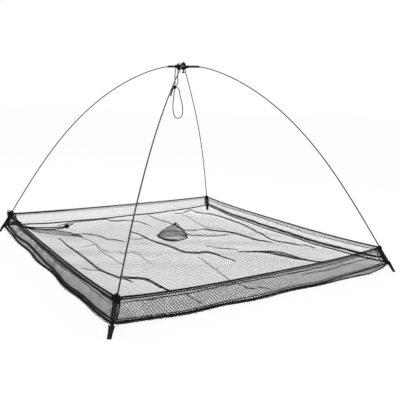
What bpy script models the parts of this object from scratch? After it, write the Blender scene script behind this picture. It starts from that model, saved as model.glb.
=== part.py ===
"""Lift net: a square net tray on four bowed rods, held up by two tubes crossed on a pivot bolt.

Metres, +Z up. The origin is on the ground under the middle of the net. Seen from the front left,
the four corners are left (-X +Y), front (-X -Y), right (+X -Y) and back (+X +Y).
"""
import math
from typing import NamedTuple

import bpy
from mathutils import Matrix, Vector

# Clearances
GAP = 0.0003              # between pieces that touch
END_GAP = 0.0005          # between a cord's cut end and the knot that it goes into
EDGE_GAP = 0.0006         # between a net's edge and the cord that it is laced to

# The net tray
SIDE = 1.000              # rim corner to rim corner, along a side
RIM_HEIGHT = 0.080        # rim cord above the ground at the corners
HEM_HEIGHT = 0.030        # hem cord above the ground at the corners
FLOOR_HEIGHT = 0.004      # floor netting above the ground, away from the sides
RIM_CORD_RADIUS = 0.0025
HEM_CORD_RADIUS = 0.0022
NET_THICKNESS = 0.0020    # a strand of netting, through the cloth
NET_STRAND_HALF = 0.0012  # half a strand's width in the cloth
WALL_COLUMNS = 16         # diamonds along one wall
FLOOR_CELLS = 8           # squares along one side of the floor
HEM_WAVE = 0.0035         # how far the slack hem waves in and out
HEM_WAVES = 4             # waves along one side
WALL_WAVE = 0.0040        # how far the slack wall bellies in and out
FLOOR_FALL = 6            # how quickly the floor falls from its edge, as a power

# The rods
ROD_RADIUS = 0.0015
ROD_MOUTH_TILT = math.radians(13.4)  # below level, once clear of the tube
ROD_MIDDLE_TILT = math.radians(46.9)
ROD_RIM_TILT = math.radians(57.3)    # straight from here to the ground
ROD_SETTLE = 0.030        # length in which a rod takes up its bend outside the tube
ROD_END_CLEARANCE = 0.0025  # from the rod's inner end to the end of its bore
ROD_BORE_STEPS = 4        # steps along the length inside the tube
ROD_POINTS = 22           # steps along the bowed length
ROD_CROWDING = 1.25       # steps lie closer where the rod leaves its tube, as a power
TIP_ABOVE_GROUND = 0.008  # along the rod, from its end to the ground

# The crossed tubes
BAR_LENGTH = 0.122
BAR_RADIUS = 0.004
BORE_RADIUS = 0.003
BORE_FLOOR = 0.0005       # metal left between the bore's end and the pressed part
FLAT_LENGTH = 0.020       # the pressed middle, which the bolt goes through
FLAT_WIDTH = 0.0128
FLAT_THICKNESS = 0.0020
FLAT_TAPER = 0.008        # from pressed to round, each side
FLAT_POWER = 5            # how square the pressed section is
ROUND_POWER = 2
TAPER_STATIONS = ((0.0, 0.0), (0.35, 0.25), (0.70, 0.75), (1.0, 1.0))  # share of the taper, roundness
BAR_SIDES = 16
CROSS_SKEW = math.radians(7.7)  # how far the front to back bar rests from square

# The pivot bolt
BOLT_RADIUS = 0.003
BOLT_PLAY = 0.0003        # all round, in the bars and washers
BOLT_ABOVE = 0.017        # threaded end above the tubes' axis
BOLT_BELOW = 0.023        # head's underside below the tubes' axis
BOLT_CHAMFER = 0.00075
BOLT_SIDES = 12           # twice a hexagon's, so that a round hole meets a hexagon
HEX_ACROSS = 0.010
HEAD_EDGE = 0.92          # width of the head's underside, as a share
HEAD_HEIGHT = 0.004
HEX_SMOOTH_ANGLE = 25     # degrees, so that a hexagon's edges stay sharp
NUT_HEIGHT = 0.005
WASHER_RADIUS = 0.006
WASHER_THICKNESS = 0.001
WASHER_SIDES = 16

# Lashings, tapes and feet at the corners
WHIP_PITCH = 0.0036       # one turn of lashing cord
RIM_LASH_TURNS = 3
RIM_LASH_RADIUS = 0.0055
HEM_LASH_TURNS = 3
HEM_LASH_RADIUS = 0.0050
WHIP_DIP = 0.0007         # depth of the groove between two turns
TAPE_WIDTH = 0.0115
TAPE_THICKNESS = 0.0012
TAPE_SLIT = 0.0030        # the light gap between the tape's two legs
TAPE_END = 0.006          # where the legs join, at each end
FOOT_TOP_WIDTH = 0.017
FOOT_TOP_DEPTH = 0.011
FOOT_TOE_WIDTH = 0.012
FOOT_TOE_DEPTH = 0.009
FOOT_STATIONS = (0.0, 0.3, 0.65)  # share of the way from the foot's top to the ground
FOOT_POWER = 2.6          # how square the foot's section is
FOOT_SIDES = 12

# The lifting cord, in the upright plane of the left to right bar
CORD_RADIUS = 0.0010
TAIL_RADIUS = 0.0016
HITCH_OFFSET = 0.0070     # its middle, outside the pressed part of the left arm
HITCH_TURNS = 5
HITCH_PITCH = 0.0025
HITCH_SIDES = 14
BOLT_LOOP_TURNS = 2
LEAD_ARCH = 0.0025        # how far the lead bows up between the hitch and the bolt
LEAD_POINTS = 5
STRAND_SWAY = 0.0012      # how far the two strands sway out of the upright plane
STRAND_WAVE = 40          # radians of that sway for each metre down
LIFT_KNOT_RADIUS = 0.0032
LIFT_KNOT_SQUASH = 0.95
LIFT_KNOT_PLACE = (0.0300, -0.0735)
LEFT_STRAND = ((0.0302, -0.0180), (0.0309, -0.0300), (0.0306, -0.0420), (0.0298, -0.0540), (0.0294, -0.0630))
RIGHT_STRAND = ((0.0200, -0.0180), (0.0206, -0.0300), (0.0201, -0.0420), (0.0192, -0.0530), (0.0202, -0.0615),
                (0.0232, -0.0665))
LOOP_ROUTE = ((0.0230, -0.0745), (0.0166, -0.0790), (0.0123, -0.0880), (0.0100, -0.1000), (0.0072, -0.1120),
              (0.0030, -0.1240), (0.0000, -0.1370), (-0.0022, -0.1520), (-0.0028, -0.1660), (0.0006, -0.1770),
              (0.0080, -0.1843), (0.0170, -0.1858), (0.0250, -0.1810), (0.0306, -0.1710), (0.0334, -0.1570),
              (0.0345, -0.1400), (0.0338, -0.1220), (0.0328, -0.1050), (0.0314, -0.0920), (0.0302, -0.0830))
TAIL_ROUTE = ((0.0362, -0.0790), (0.0392, -0.0870), (0.0420, -0.0965), (0.0446, -0.1070))

# The bait pocket on the floor
POCKET_MOUTH = (0.064, 0.137)    # middle of the mouth, on the floor
POCKET_APEX = (0.186, 0.306)     # where its cloth is gathered
POCKET_HALF_WIDTH = 0.060
POCKET_HEIGHT = 0.018
POCKET_CLOTH = 0.0014
POCKET_TAIL = 0.16               # height and width left at the gathered end, as a share
POCKET_WIDTH_POWER = 2.2         # how late its sides draw in
POCKET_HEIGHT_POWER = 1.6        # how late it falls
POCKET_ROWS = 7
POCKET_RIBS = 10
SEAM_RADIUS = 0.0013
SEAM_BOW = 0.060                 # the mouth's seam bows forward by this much
POCKET_LIP_BOW = 0.040           # and the lip above it by this much
SEAM_STEPS = 12
POCKET_KNOT_RADIUS = 0.0060
POCKET_KNOT_SQUASH = 0.85

# The storage tie, which hangs from the left corner and lies on the floor netting
TIE_RADIUS = 0.00125
TIE_KNOT_RADIUS = 0.0050
TIE_KNOT_SQUASH = 0.80
TIE_KNOT_PLACE = (-0.2760, 0.4440, 0.0162)
TIE_ROUTE = ((-0.4780, 0.4750, 0.0350), (-0.4640, 0.4722, 0.0308), (-0.4480, 0.4690, 0.0268),
             (-0.4300, 0.4658, 0.0234), (-0.4120, 0.4628, 0.0210), (-0.3920, 0.4600, 0.0186),
             (-0.3720, 0.4578, 0.0168), (-0.3520, 0.4556, 0.0154), (-0.3320, 0.4534, 0.0144),
             (-0.3120, 0.4508, 0.0140), (-0.2960, 0.4480, 0.0146))
TIE_RETURN_ROUTE = ((-0.4790, 0.4680, 0.0352), (-0.4640, 0.4620, 0.0302), (-0.4480, 0.4550, 0.0256),
                    (-0.4300, 0.4480, 0.0218), (-0.4120, 0.4420, 0.0190), (-0.3920, 0.4370, 0.0166),
                    (-0.3720, 0.4335, 0.0148), (-0.3520, 0.4315, 0.0136), (-0.3320, 0.4310, 0.0130),
                    (-0.3120, 0.4320, 0.0128), (-0.2940, 0.4350, 0.0132))
TIE_TAIL_ROUTE = ((-0.2640, 0.4530, 0.0170), (-0.2550, 0.4600, 0.0168), (-0.2460, 0.4670, 0.0162),
                  (-0.2370, 0.4745, 0.0158))


class Corner(NamedTuple):
    """One corner of the net: its name, its bearing from the bolt and whether its rod is on the upper bar."""

    name: str
    bearing: float
    on_upper_bar: bool


class Wall(NamedTuple):
    """One side of the net between two corners, and how its slack rim and hem hang."""

    name: str
    start: int
    end: int
    rim_sag: float   # the rim's middle below its corners
    rim_bow: float   # the rim's middle inside the straight line
    hem_drop: float
    hem_bow: float


LEFT, FRONT, RIGHT, BACK = range(4)
CORNERS = (Corner("left", math.radians(135), False), Corner("front", math.radians(225), True),
           Corner("right", math.radians(315), False), Corner("back", math.radians(45), True))
WALLS = (Wall("left_front", LEFT, FRONT, 0.022, 0.008, 0.023, 0.008),
         Wall("front_right", FRONT, RIGHT, 0.017, 0.006, 0.023, 0.010),
         Wall("right_back", RIGHT, BACK, 0.010, 0.006, 0.016, 0.012),
         Wall("back_left", BACK, LEFT, 0.004, 0.004, 0.012, 0.012))

# Worked out from the driving sizes
CORNER_RADIUS = SIDE / math.sqrt(2)
MOUTH_RADIUS = BAR_LENGTH / 2
BAR_ROOT = FLAT_LENGTH / 2 + FLAT_TAPER
BORE_END = BAR_ROOT + BORE_FLOOR
ROD_INSERT = MOUTH_RADIUS - BORE_END - ROD_END_CLEARANCE
HITCH_CENTRE = BAR_ROOT + HITCH_OFFSET
ROD_PLAY = BORE_RADIUS - ROD_RADIUS - GAP
ROD_MOUTH_SLOPE = 4 * ROD_PLAY / ROD_INSERT
LEFT_BEARING = CORNERS[LEFT].bearing
BAR_BEARINGS = {"lower": LEFT_BEARING, "upper": CORNERS[BACK].bearing + CROSS_SKEW}
WASHER_TOP = GAP / 2 + FLAT_THICKNESS + GAP
NUT_START = WASHER_TOP + WASHER_THICKNESS + GAP
HOLE_RADIUS = BOLT_RADIUS + BOLT_PLAY


def rod_tilt(share, distance):
    """The rod's angle below level, at a share of its bowed length and a distance from the tube."""
    bend = 2 * (ROD_RIM_TILT + ROD_MOUTH_TILT - 2 * ROD_MIDDLE_TILT)
    turn = ROD_RIM_TILT - ROD_MOUTH_TILT - bend
    tilt = ROD_MOUTH_TILT + turn * share + bend * share ** 2
    return tilt - (ROD_MOUTH_TILT - ROD_MOUTH_SLOPE) * math.exp(-distance / ROD_SETTLE)


def bowed_rod(steps=400):
    """The bowed part of a rod from tube to rim, as (radius, drop) at even steps, and its length."""
    length = CORNER_RADIUS - MOUTH_RADIUS
    for _ in range(12):
        tilts = [rod_tilt((k + 0.5) / steps, (k + 0.5) / steps * length) for k in range(steps)]
        length = (CORNER_RADIUS - MOUTH_RADIUS) / (sum(math.cos(a) for a in tilts) / steps)
    radius, drop, line = MOUTH_RADIUS, 0.0, [(MOUTH_RADIUS, 0.0)]
    for tilt in tilts:
        radius += math.cos(tilt) * length / steps
        drop += math.sin(tilt) * length / steps
        line.append((radius, drop))
    return line, length


ROD_LINE, ROD_BOWED_LENGTH = bowed_rod()
HUB_HEIGHT = RIM_HEIGHT + ROD_LINE[-1][1] + ROD_PLAY
GROUND_DISTANCE = RIM_HEIGHT / math.sin(ROD_RIM_TILT)
HEM_DISTANCE = (RIM_HEIGHT - HEM_HEIGHT) / math.sin(ROD_RIM_TILT)
HEM_SPREAD = HEM_DISTANCE * math.cos(ROD_RIM_TILT)
TIP_DISTANCE = GROUND_DISTANCE - TIP_ABOVE_GROUND
RIM_LASH_HALF = RIM_LASH_TURNS * WHIP_PITCH / 2
HEM_LASH_HALF = HEM_LASH_TURNS * WHIP_PITCH / 2
HUB = Vector((0, 0, HUB_HEIGHT))

materials = {}
pivots = {}


def material(name, colour, roughness, metallic=0.0):
    """A plain finish, made once for each sub-part."""
    if name not in materials:
        new = bpy.data.materials.new(name)
        new.use_nodes = True
        shader = new.node_tree.nodes["Principled BSDF"]
        shader.inputs["Base Color"].default_value = (*colour, 1.0)
        shader.inputs["Roughness"].default_value = roughness
        shader.inputs["Metallic"].default_value = metallic
        materials[name] = new
    return materials[name]


def steel(name):
    return material(name, (0.13, 0.13, 0.135), 0.42, 0.9)


def rod_finish(name):
    return material(name, (0.035, 0.035, 0.037), 0.40, 0.2)


def cord_finish(name):
    return material(name, (0.014, 0.014, 0.015), 0.85)


def net_finish(name):
    return material(name, (0.030, 0.030, 0.032), 0.80)


def tape_finish(name):
    return material(name, (0.018, 0.018, 0.020), 0.75)


def bearing(angle):
    """The level unit vector at an angle from +X."""
    return Vector((math.cos(angle), math.sin(angle), 0))


def pivot(name, place):
    """The empty that a moving group is parented to, on its joint's axis."""
    if name not in pivots:
        pivots[name] = bpy.data.objects.new(name, None)
        pivots[name].location = place
        bpy.context.collection.objects.link(pivots[name])
    return pivots[name]


def add(name, data, finish, matrix=Matrix(), parent=None):
    """Links one sub-part, placed by its matrix and carried by its pivot."""
    piece = bpy.data.objects.new(name, data)
    bpy.context.collection.objects.link(piece)
    data.materials.append(finish)
    if parent is not None:
        piece.parent = parent
        matrix = Matrix.Translation(-parent.location) @ matrix
    piece.matrix_local = matrix
    return piece


def mesh(name, points, faces, smooth_angle=40):
    """A mesh from points and faces, shaded smooth over its shallow edges."""
    new = bpy.data.meshes.new(name)
    new.from_pydata([tuple(p) for p in points], [], faces)
    new.update()
    new.shade_smooth()
    new.set_sharp_from_angle(angle=math.radians(smooth_angle))
    return new


def tube(name, points, radius, finish, parent=None):
    """A round cord or rod along a line of points, with closed ends."""
    origin = parent.location if parent is not None else Vector()
    curve = bpy.data.curves.new(name, "CURVE")
    curve.dimensions = "3D"
    curve.bevel_depth = radius
    curve.bevel_resolution = 2
    curve.use_fill_caps = True
    line = curve.splines.new("POLY")
    line.points.add(len(points) - 1)
    for slot, point in zip(line.points, points):
        slot.co = (*(Vector(point) - origin), 1.0)
    line.use_smooth = True
    piece = bpy.data.objects.new(name, curve)
    curve.materials.append(finish)
    bpy.context.collection.objects.link(piece)
    piece.parent = parent
    return piece


def smooth_route(points, steps):
    """Points along a smooth curve through the route's own points, some steps to each stretch."""
    route = [Vector(p) for p in points]
    route = [2 * route[0] - route[1]] + route + [2 * route[-1] - route[-2]]
    line = []
    for a, b, c, d in zip(route, route[1:], route[2:], route[3:]):
        for k in range(steps):
            t = k / steps
            line.append(0.5 * ((2 * b) + (c - a) * t + (2 * a - 5 * b + 4 * c - d) * t ** 2
                               + (3 * b - a - 3 * c + d) * t ** 3))
    return line + [route[-2]]


def circle(radius, height, sides):
    """A level ring of points about local Z."""
    angles = [2 * math.pi * k / sides for k in range(sides)]
    return [Vector((radius * math.cos(angle), radius * math.sin(angle), height)) for angle in angles]


def loft(rings, close_start=True, close_end=True):
    """Points and faces of a skin over rings of equal length, which turn anticlockwise about its way."""
    sides = len(rings[0])
    points = [p for ring in rings for p in ring]
    faces = []
    for row in range(len(rings) - 1):
        for k in range(sides):
            a, b = row * sides + k, row * sides + (k + 1) % sides
            faces.append((a, b, b + sides, a + sides))
    if close_start:
        faces.append(tuple(reversed(range(sides))))
    if close_end:
        faces.append(tuple(range(len(points) - sides, len(points))))
    return points, faces


def turned(name, profile, sides, finish, matrix, parent=None):
    """A ring turned about local Z. Its profile of (radius, height) runs up outside and down inside."""
    rings = [circle(radius, height, sides) for radius, height in profile]
    points, faces = loft(rings + rings[:1], False, False)
    count = len(profile) * sides
    faces = [tuple(i % count for i in face) for face in faces]
    return add(name, mesh(name, points[:count], faces), finish, matrix, parent)


def ball(name, radius, squash, finish, place, sides=10, rows=6):
    """A knot drawn up tight: a rounded lump, lower than it is wide."""
    rings = []
    for row in range(1, rows):
        angle = math.pi * row / rows - math.pi / 2
        rings.append(circle(radius * math.cos(angle), radius * squash * math.sin(angle), sides))
    points, faces = loft(rings)
    return add(name, mesh(name, points, faces), finish, Matrix.Translation(place))


def whipping(name, turns, pitch, inner, outer, finish, matrix, parent=None, sides=10):
    """Turns of lashing cord drawn tight side by side, as a ring with a groove between turns."""
    half = turns * pitch / 2
    profile = [(outer - WHIP_DIP, -half)]
    for turn in range(turns):
        middle = -half + (turn + 0.5) * pitch
        profile += [(outer, middle), (outer - WHIP_DIP, middle + pitch / 2)]
    profile += [(inner, half), (inner, -half)]
    return turned(name, profile, sides, finish, matrix, parent)


def section(across, up, sides, power):
    """A closed outline between an ellipse, at power 2, and a rectangle with round corners."""
    outline = []
    for k in range(sides):
        angle = 2 * math.pi * (k + 0.5) / sides
        c, s = math.cos(angle), math.sin(angle)
        outline.append((across * math.copysign(abs(c) ** (2 / power), c),
                        up * math.copysign(abs(s) ** (2 / power), s)))
    return outline


def bar_half(sign, lift):
    """Rings of half a bar from the edge of its flat to its mouth and back down the bore, along +X."""
    rings = []
    for share, roundness in TAPER_STATIONS:
        x = FLAT_LENGTH / 2 + FLAT_TAPER * share
        across = FLAT_WIDTH / 2 + (BAR_RADIUS - FLAT_WIDTH / 2) * roundness
        up = FLAT_THICKNESS / 2 + (BAR_RADIUS - FLAT_THICKNESS / 2) * roundness
        outline = section(across, up, BAR_SIDES, FLAT_POWER + (ROUND_POWER - FLAT_POWER) * roundness)
        rings.append([(x * sign, y, z + lift * (1 - roundness)) for y, z in outline])
    for x, radius in ((MOUTH_RADIUS, BAR_RADIUS), (MOUTH_RADIUS, BORE_RADIUS), (BORE_END, BORE_RADIUS)):
        rings.append([(x * sign, y, z) for y, z in section(radius, radius, BAR_SIDES, ROUND_POWER)])
    return rings


def cross_bar(name, which, side_of_hub, parent=None):
    """A steel tube pressed flat in the middle, where the pivot bolt goes through it."""
    lift = side_of_hub * (GAP + FLAT_THICKNESS) / 2
    left = bar_half(-1, lift)
    right = bar_half(1, lift)
    points, faces = loft(list(reversed(left)) + right)
    data = mesh(name, [Vector(p) for p in points], faces)
    matrix = Matrix.Translation(HUB) @ Matrix.Rotation(BAR_BEARINGS[which], 4, "Z")
    bar = add(name, data, steel(name), matrix, parent)
    points, faces = loft([circle(HOLE_RADIUS, z, BAR_SIDES) for z in (-2 * BAR_RADIUS, 2 * BAR_RADIUS)])
    cutter = add(name + "_drill", mesh(name + "_drill", points, faces), steel(name), matrix, parent)
    cutter.hide_render = True
    cutter.display_type = "WIRE"
    cut = bar.modifiers.new("bolt hole", "BOOLEAN")
    cut.operation = "DIFFERENCE"
    cut.solver = "EXACT"
    cut.object = cutter
    return bar


def hexagon(across, z):
    """A level ring of twelve points round a hexagon: its corners and the middles of its sides."""
    corners = circle(across / math.sqrt(3), z, 6)
    ring = []
    for k, corner in enumerate(corners):
        ring += [corner, (corner + corners[(k + 1) % 6]) / 2]
    return ring


def pivot_bolt():
    """The long bolt that the bars turn on: a hexagon head below, a plain shank and a chamfered end."""
    head_low = -BOLT_BELOW
    head_top = head_low + HEAD_HEIGHT
    rings = [hexagon(HEX_ACROSS * HEAD_EDGE, head_low), hexagon(HEX_ACROSS, head_low + BOLT_CHAMFER),
             hexagon(HEX_ACROSS, head_top), circle(BOLT_RADIUS, head_top, BOLT_SIDES),
             circle(BOLT_RADIUS, BOLT_ABOVE - BOLT_CHAMFER, BOLT_SIDES),
             circle(BOLT_RADIUS - BOLT_CHAMFER, BOLT_ABOVE, BOLT_SIDES)]
    data = mesh("pivot_bolt", *loft(rings), HEX_SMOOTH_ANGLE)
    return add("pivot_bolt", data, steel("pivot_bolt"), Matrix.Translation(HUB))


def nut(name, low):
    """A hexagon nut round the bolt."""
    high = low + NUT_HEIGHT
    outside = [hexagon(HEX_ACROSS, low), hexagon(HEX_ACROSS, high)]
    inside = [circle(HOLE_RADIUS, high, BOLT_SIDES), circle(HOLE_RADIUS, low, BOLT_SIDES)]
    points, faces = loft(outside + inside + outside[:1], False, False)
    count = 4 * BOLT_SIDES
    faces = [tuple(i % count for i in face) for face in faces]
    data = mesh(name, points[:count], faces, HEX_SMOOTH_ANGLE)
    return add(name, data, steel(name), Matrix.Translation(HUB))


def washer(name, low):
    """A flat washer round the bolt."""
    high = low + WASHER_THICKNESS
    profile = [(WASHER_RADIUS, low), (WASHER_RADIUS, high), (HOLE_RADIUS, high), (HOLE_RADIUS, low)]
    return turned(name, profile, WASHER_SIDES, steel(name), Matrix.Translation(HUB))


def corner_frame(corner, distance=0.0):
    """The frame on a rod below the rim: X across it, Y outwards and up, Z down along it."""
    out = bearing(corner.bearing)
    down = out * math.cos(ROD_RIM_TILT) - Vector((0, 0, math.sin(ROD_RIM_TILT)))
    across = Vector((-out.y, out.x, 0))
    up = down.cross(across)
    place = out * CORNER_RADIUS + Vector((0, 0, RIM_HEIGHT)) + down * distance
    return Matrix.Translation(place) @ Matrix((across, up, down)).transposed().to_4x4()


def rod_route(corner):
    """A rod's centreline: down the loose bore, out in a bow to the rim, and straight to its tip."""
    skew = CROSS_SKEW if corner.on_upper_bar else 0.0
    out = bearing(corner.bearing)
    aside = Vector((-out.y, out.x, 0))
    along_bar = bearing(corner.bearing + skew)
    points = []
    for k in range(ROD_BORE_STEPS + 1):
        share = k / ROD_BORE_STEPS
        height = HUB_HEIGHT + ROD_PLAY - 2 * ROD_PLAY * share ** 2
        points.append(along_bar * (MOUTH_RADIUS - ROD_INSERT * (1 - share)) + Vector((0, 0, height)))
    start = MOUTH_RADIUS * math.cos(skew)
    for k in range(1, ROD_POINTS + 1):
        radius, drop = ROD_LINE[round((k / ROD_POINTS) ** ROD_CROWDING * (len(ROD_LINE) - 1))]
        share = (radius - MOUTH_RADIUS) / (CORNER_RADIUS - MOUTH_RADIUS)
        sideways = (MOUTH_RADIUS * math.sin(skew) * (1 - 3 * share ** 2 + 2 * share ** 3)
                    + math.tan(skew) * (CORNER_RADIUS - start) * share * (1 - share) ** 2)
        points.append(out * (start + share * (CORNER_RADIUS - start)) + aside * sideways
                      + Vector((0, 0, HUB_HEIGHT - ROD_PLAY - drop)))
    down = corner_frame(corner).col[2].to_3d()
    return points + [points[-1] + down * TIP_DISTANCE / 2, points[-1] + down * TIP_DISTANCE]


def corner_tape(corner, parent):
    """The webbing between rim and hem, laid along the rod's outer side: two legs joined at the ends."""
    start = RIM_LASH_HALF + GAP
    end = HEM_DISTANCE - HEM_LASH_HALF - GAP
    low = ROD_RADIUS + GAP
    outer = ((-TAPE_WIDTH / 2, start), (TAPE_WIDTH / 2, start), (TAPE_WIDTH / 2, end), (-TAPE_WIDTH / 2, end))
    inner = ((-TAPE_SLIT / 2, start + TAPE_END), (TAPE_SLIT / 2, start + TAPE_END),
             (TAPE_SLIT / 2, end - TAPE_END), (-TAPE_SLIT / 2, end - TAPE_END))
    layers = [[(x, y, z) for x, z in outline] for outline, y in
              ((outer, low), (outer, low + TAPE_THICKNESS), (inner, low + TAPE_THICKNESS), (inner, low))]
    points, faces = loft(layers + layers[:1], False, False)
    faces = [tuple(reversed([i % 16 for i in face])) for face in faces]
    name = "corner_tape_" + corner.name
    return add(name, mesh(name, [Vector(p) for p in points[:16]], faces), tape_finish(name),
               corner_frame(corner), parent)


def foot_pocket(corner, parent):
    """The folded tape pocket over a rod's tip, cut flat where it stands on the ground."""
    top = HEM_DISTANCE + HEM_LASH_HALF + GAP
    rings = []
    for share in FOOT_STATIONS:
        width = FOOT_TOP_WIDTH + (FOOT_TOE_WIDTH - FOOT_TOP_WIDTH) * share
        depth = FOOT_TOP_DEPTH + (FOOT_TOE_DEPTH - FOOT_TOP_DEPTH) * share
        z = top + (GROUND_DISTANCE - top) * share
        rings.append([Vector((x, y, z)) for x, y in section(width / 2, depth / 2, FOOT_SIDES, FOOT_POWER)])
    ground = []
    for x, y in section(FOOT_TOE_WIDTH / 2, FOOT_TOE_DEPTH / 2, FOOT_SIDES, FOOT_POWER):
        ground.append(Vector((x, y, (RIM_HEIGHT + y * math.cos(ROD_RIM_TILT)) / math.sin(ROD_RIM_TILT))))
    bore = [circle(ROD_RADIUS + GAP, TIP_DISTANCE + GAP, FOOT_SIDES), circle(ROD_RADIUS + GAP, top, FOOT_SIDES)]
    points, faces = loft(bore + rings + [ground])
    name = "foot_pocket_" + corner.name
    return add(name, mesh(name, points, faces), tape_finish(name), corner_frame(corner), parent)


def cord_start(direction, lash_radius, radius):
    """How far from the corner a side cord starts, so that it clears the lashing on the rod."""
    down = corner_frame(CORNERS[LEFT]).col[2].to_3d()
    lean = abs(down.dot(direction))
    return (lash_radius + END_GAP + lean * radius) / math.sqrt(1 - lean ** 2)


def slack(share):
    """How far a slack cord has dropped at a share of its span: steep at its ends, level between."""
    return 1 - abs(2 * share - 1) ** 3


def side_cord(wall, hem):
    """The rim or hem cord of a wall as evenly spread points from one corner lashing to the next."""
    height = HEM_HEIGHT if hem else RIM_HEIGHT
    reach = CORNER_RADIUS + (HEM_SPREAD if hem else 0)
    first = bearing(CORNERS[wall.start].bearing) * reach
    last = bearing(CORNERS[wall.end].bearing) * reach
    along = (last - first).normalized()
    inwards = Vector((-along.y, along.x, 0))
    lash, radius = (HEM_LASH_RADIUS, HEM_CORD_RADIUS) if hem else (RIM_LASH_RADIUS, RIM_CORD_RADIUS)
    start = cord_start(bearing(math.radians(90)), lash, radius) / (last - first).length
    drop, bow = (wall.hem_drop, wall.hem_bow) if hem else (wall.rim_sag, wall.rim_bow)
    line = []
    for k in range(WALL_COLUMNS + 1):
        share = k / WALL_COLUMNS
        wave = HEM_WAVE * math.sin(2 * math.pi * HEM_WAVES * share) * slack(share) if hem else 0.0
        place = first.lerp(last, start + (1 - 2 * start) * share)
        place += inwards * (bow * slack(share) + wave)
        line.append(place + Vector((0, 0, height - drop * slack(share))))
    return line, inwards


def lattice(name, nodes, cells, normal, finish):
    """A net as one solid: each cell of a grid loses its middle, and what is left are the strands."""
    top = [node + normal * NET_THICKNESS / 2 for node in nodes]
    low = [node - normal * NET_THICKNESS / 2 for node in nodes]
    points, faces, edges = top + low, [], {}
    count = len(nodes)
    for cell in cells:
        area = Vector()
        for a, b in zip(cell, cell[1:] + cell[:1]):
            area += nodes[a].cross(nodes[b])
        if area.dot(normal) < 0:
            cell = list(reversed(cell))
        size, first = len(cell), len(points)
        hole = []
        for k, middle in enumerate(cell):
            before = (nodes[middle] - nodes[cell[k - 1]]).normalized()
            after = (nodes[cell[(k + 1) % size]] - nodes[middle]).normalized()
            a, b = normal.cross(before).normalized(), normal.cross(after).normalized()
            hole.append(nodes[middle] + (a + b) * NET_STRAND_HALF / (1 + a.dot(b)))
        points += [p + normal * NET_THICKNESS / 2 for p in hole]
        points += [p - normal * NET_THICKNESS / 2 for p in hole]
        for k in range(size):
            i, j = cell[k], cell[(k + 1) % size]
            p, q = first + k, first + (k + 1) % size
            faces += [(i, j, q, p), (count + j, count + i, p + size, q + size), (p, q, q + size, p + size)]
            edges[(i, j)] = True
    for i, j in edges:
        if (j, i) not in edges:
            faces.append((j, i, count + i, count + j))
    return add(name, mesh(name, points, faces, 30), finish)


def wall_net(wall):
    """The netting of one wall, in diamonds between the rim cord and the hem cord."""
    rim, inwards = side_cord(wall, False)
    hem, _ = side_cord(wall, True)
    top, low, middle = [], [], []
    for a, b in zip(rim, hem):
        down = (b - a).normalized()
        top.append(a + down * (RIM_CORD_RADIUS + EDGE_GAP))
        low.append(b - down * (HEM_CORD_RADIUS + EDGE_GAP))
    for k in range(WALL_COLUMNS):
        centre = (top[k] + top[k + 1] + low[k] + low[k + 1]) / 4
        middle.append(centre - inwards * WALL_WAVE * math.sin(math.pi * HEM_WAVES * (k + 0.5) / WALL_COLUMNS))
    nodes = top + low + middle
    lows, middles = WALL_COLUMNS + 1, 2 * (WALL_COLUMNS + 1)
    cells = [[0, lows, middles], [WALL_COLUMNS, lows + WALL_COLUMNS, middles + WALL_COLUMNS - 1]]
    for k in range(WALL_COLUMNS):
        cells += [[k, k + 1, middles + k], [lows + k, lows + k + 1, middles + k]]
        if k:
            cells.append([k, middles + k, lows + k, middles + k - 1])
    name = "net_wall_" + wall.name
    facing = (rim[-1] - rim[0]).cross(rim[WALL_COLUMNS // 2] - hem[WALL_COLUMNS // 2]).normalized()
    return lattice(name, nodes, cells, facing, net_finish(name))


def floor_edge(wall):
    """The floor's edge along one wall, just inside its hem cord, from corner to corner."""
    hem, inwards = side_cord(wall, True)
    edge = [p + inwards * (HEM_CORD_RADIUS + EDGE_GAP) for p in hem]
    for end, corner in ((0, wall.start), (-1, wall.end)):
        to_corner = bearing(CORNERS[corner].bearing)
        start = cord_start(bearing(math.radians(90)), HEM_LASH_RADIUS, HEM_CORD_RADIUS)
        edge[end] = (to_corner * (CORNER_RADIUS + HEM_SPREAD - start * math.sqrt(2))
                     + Vector((0, 0, HEM_HEIGHT)))
    return edge


def net_floor():
    """The netting that the catch lies on: square cells between the four hem cords."""
    left, front, right, back = (floor_edge(wall) for wall in WALLS)
    size, per_cell = FLOOR_CELLS, WALL_COLUMNS // FLOOR_CELLS
    south, north = front, list(reversed(back))
    west, east = list(reversed(left)), right
    nodes, index = [], {}

    def node(i, j):
        """The grid point at i steps east and j steps north, in steps of half a cell."""
        if (i, j) in index:
            return index[i, j]
        u, v = i / WALL_COLUMNS, j / WALL_COLUMNS
        if j == 0:
            place = south[i]
        elif j == WALL_COLUMNS:
            place = north[i]
        elif i == 0:
            place = west[j]
        elif i == WALL_COLUMNS:
            place = east[j]
        else:
            place = (south[i] * (1 - v) + north[i] * v + west[j] * (1 - u) + east[j] * u
                     - south[0] * (1 - u) * (1 - v) - south[-1] * u * (1 - v)
                     - north[0] * (1 - u) * v - north[-1] * u * v)
            inside = min(u, 1 - u, v, 1 - v)
            place.z = FLOOR_HEIGHT + (place.z - FLOOR_HEIGHT) * (1 - 2 * inside) ** FLOOR_FALL
        index[i, j] = len(nodes)
        nodes.append(place)
        return index[i, j]

    def is_kept(i, j):
        """Whether a half step is a corner of its cell, or lies on the floor's edge, which bends there."""
        edges = (0, WALL_COLUMNS)
        return (i % per_cell == 0 and j % per_cell == 0) or i in edges or j in edges

    cells = []
    for row in range(size):
        for column in range(size):
            i, j = column * per_cell, row * per_cell
            outline = [(i + k, j) for k in range(per_cell)] + [(i + per_cell, j + k) for k in range(per_cell)]
            outline += [(i + per_cell - k, j + per_cell) for k in range(per_cell)]
            outline += [(i, j + per_cell - k) for k in range(per_cell)]
            cells.append([node(a, b) for a, b in outline if is_kept(a, b)])
    return lattice("net_floor", nodes, cells, Vector((0, 0, 1)), net_finish("net_floor"))


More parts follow.
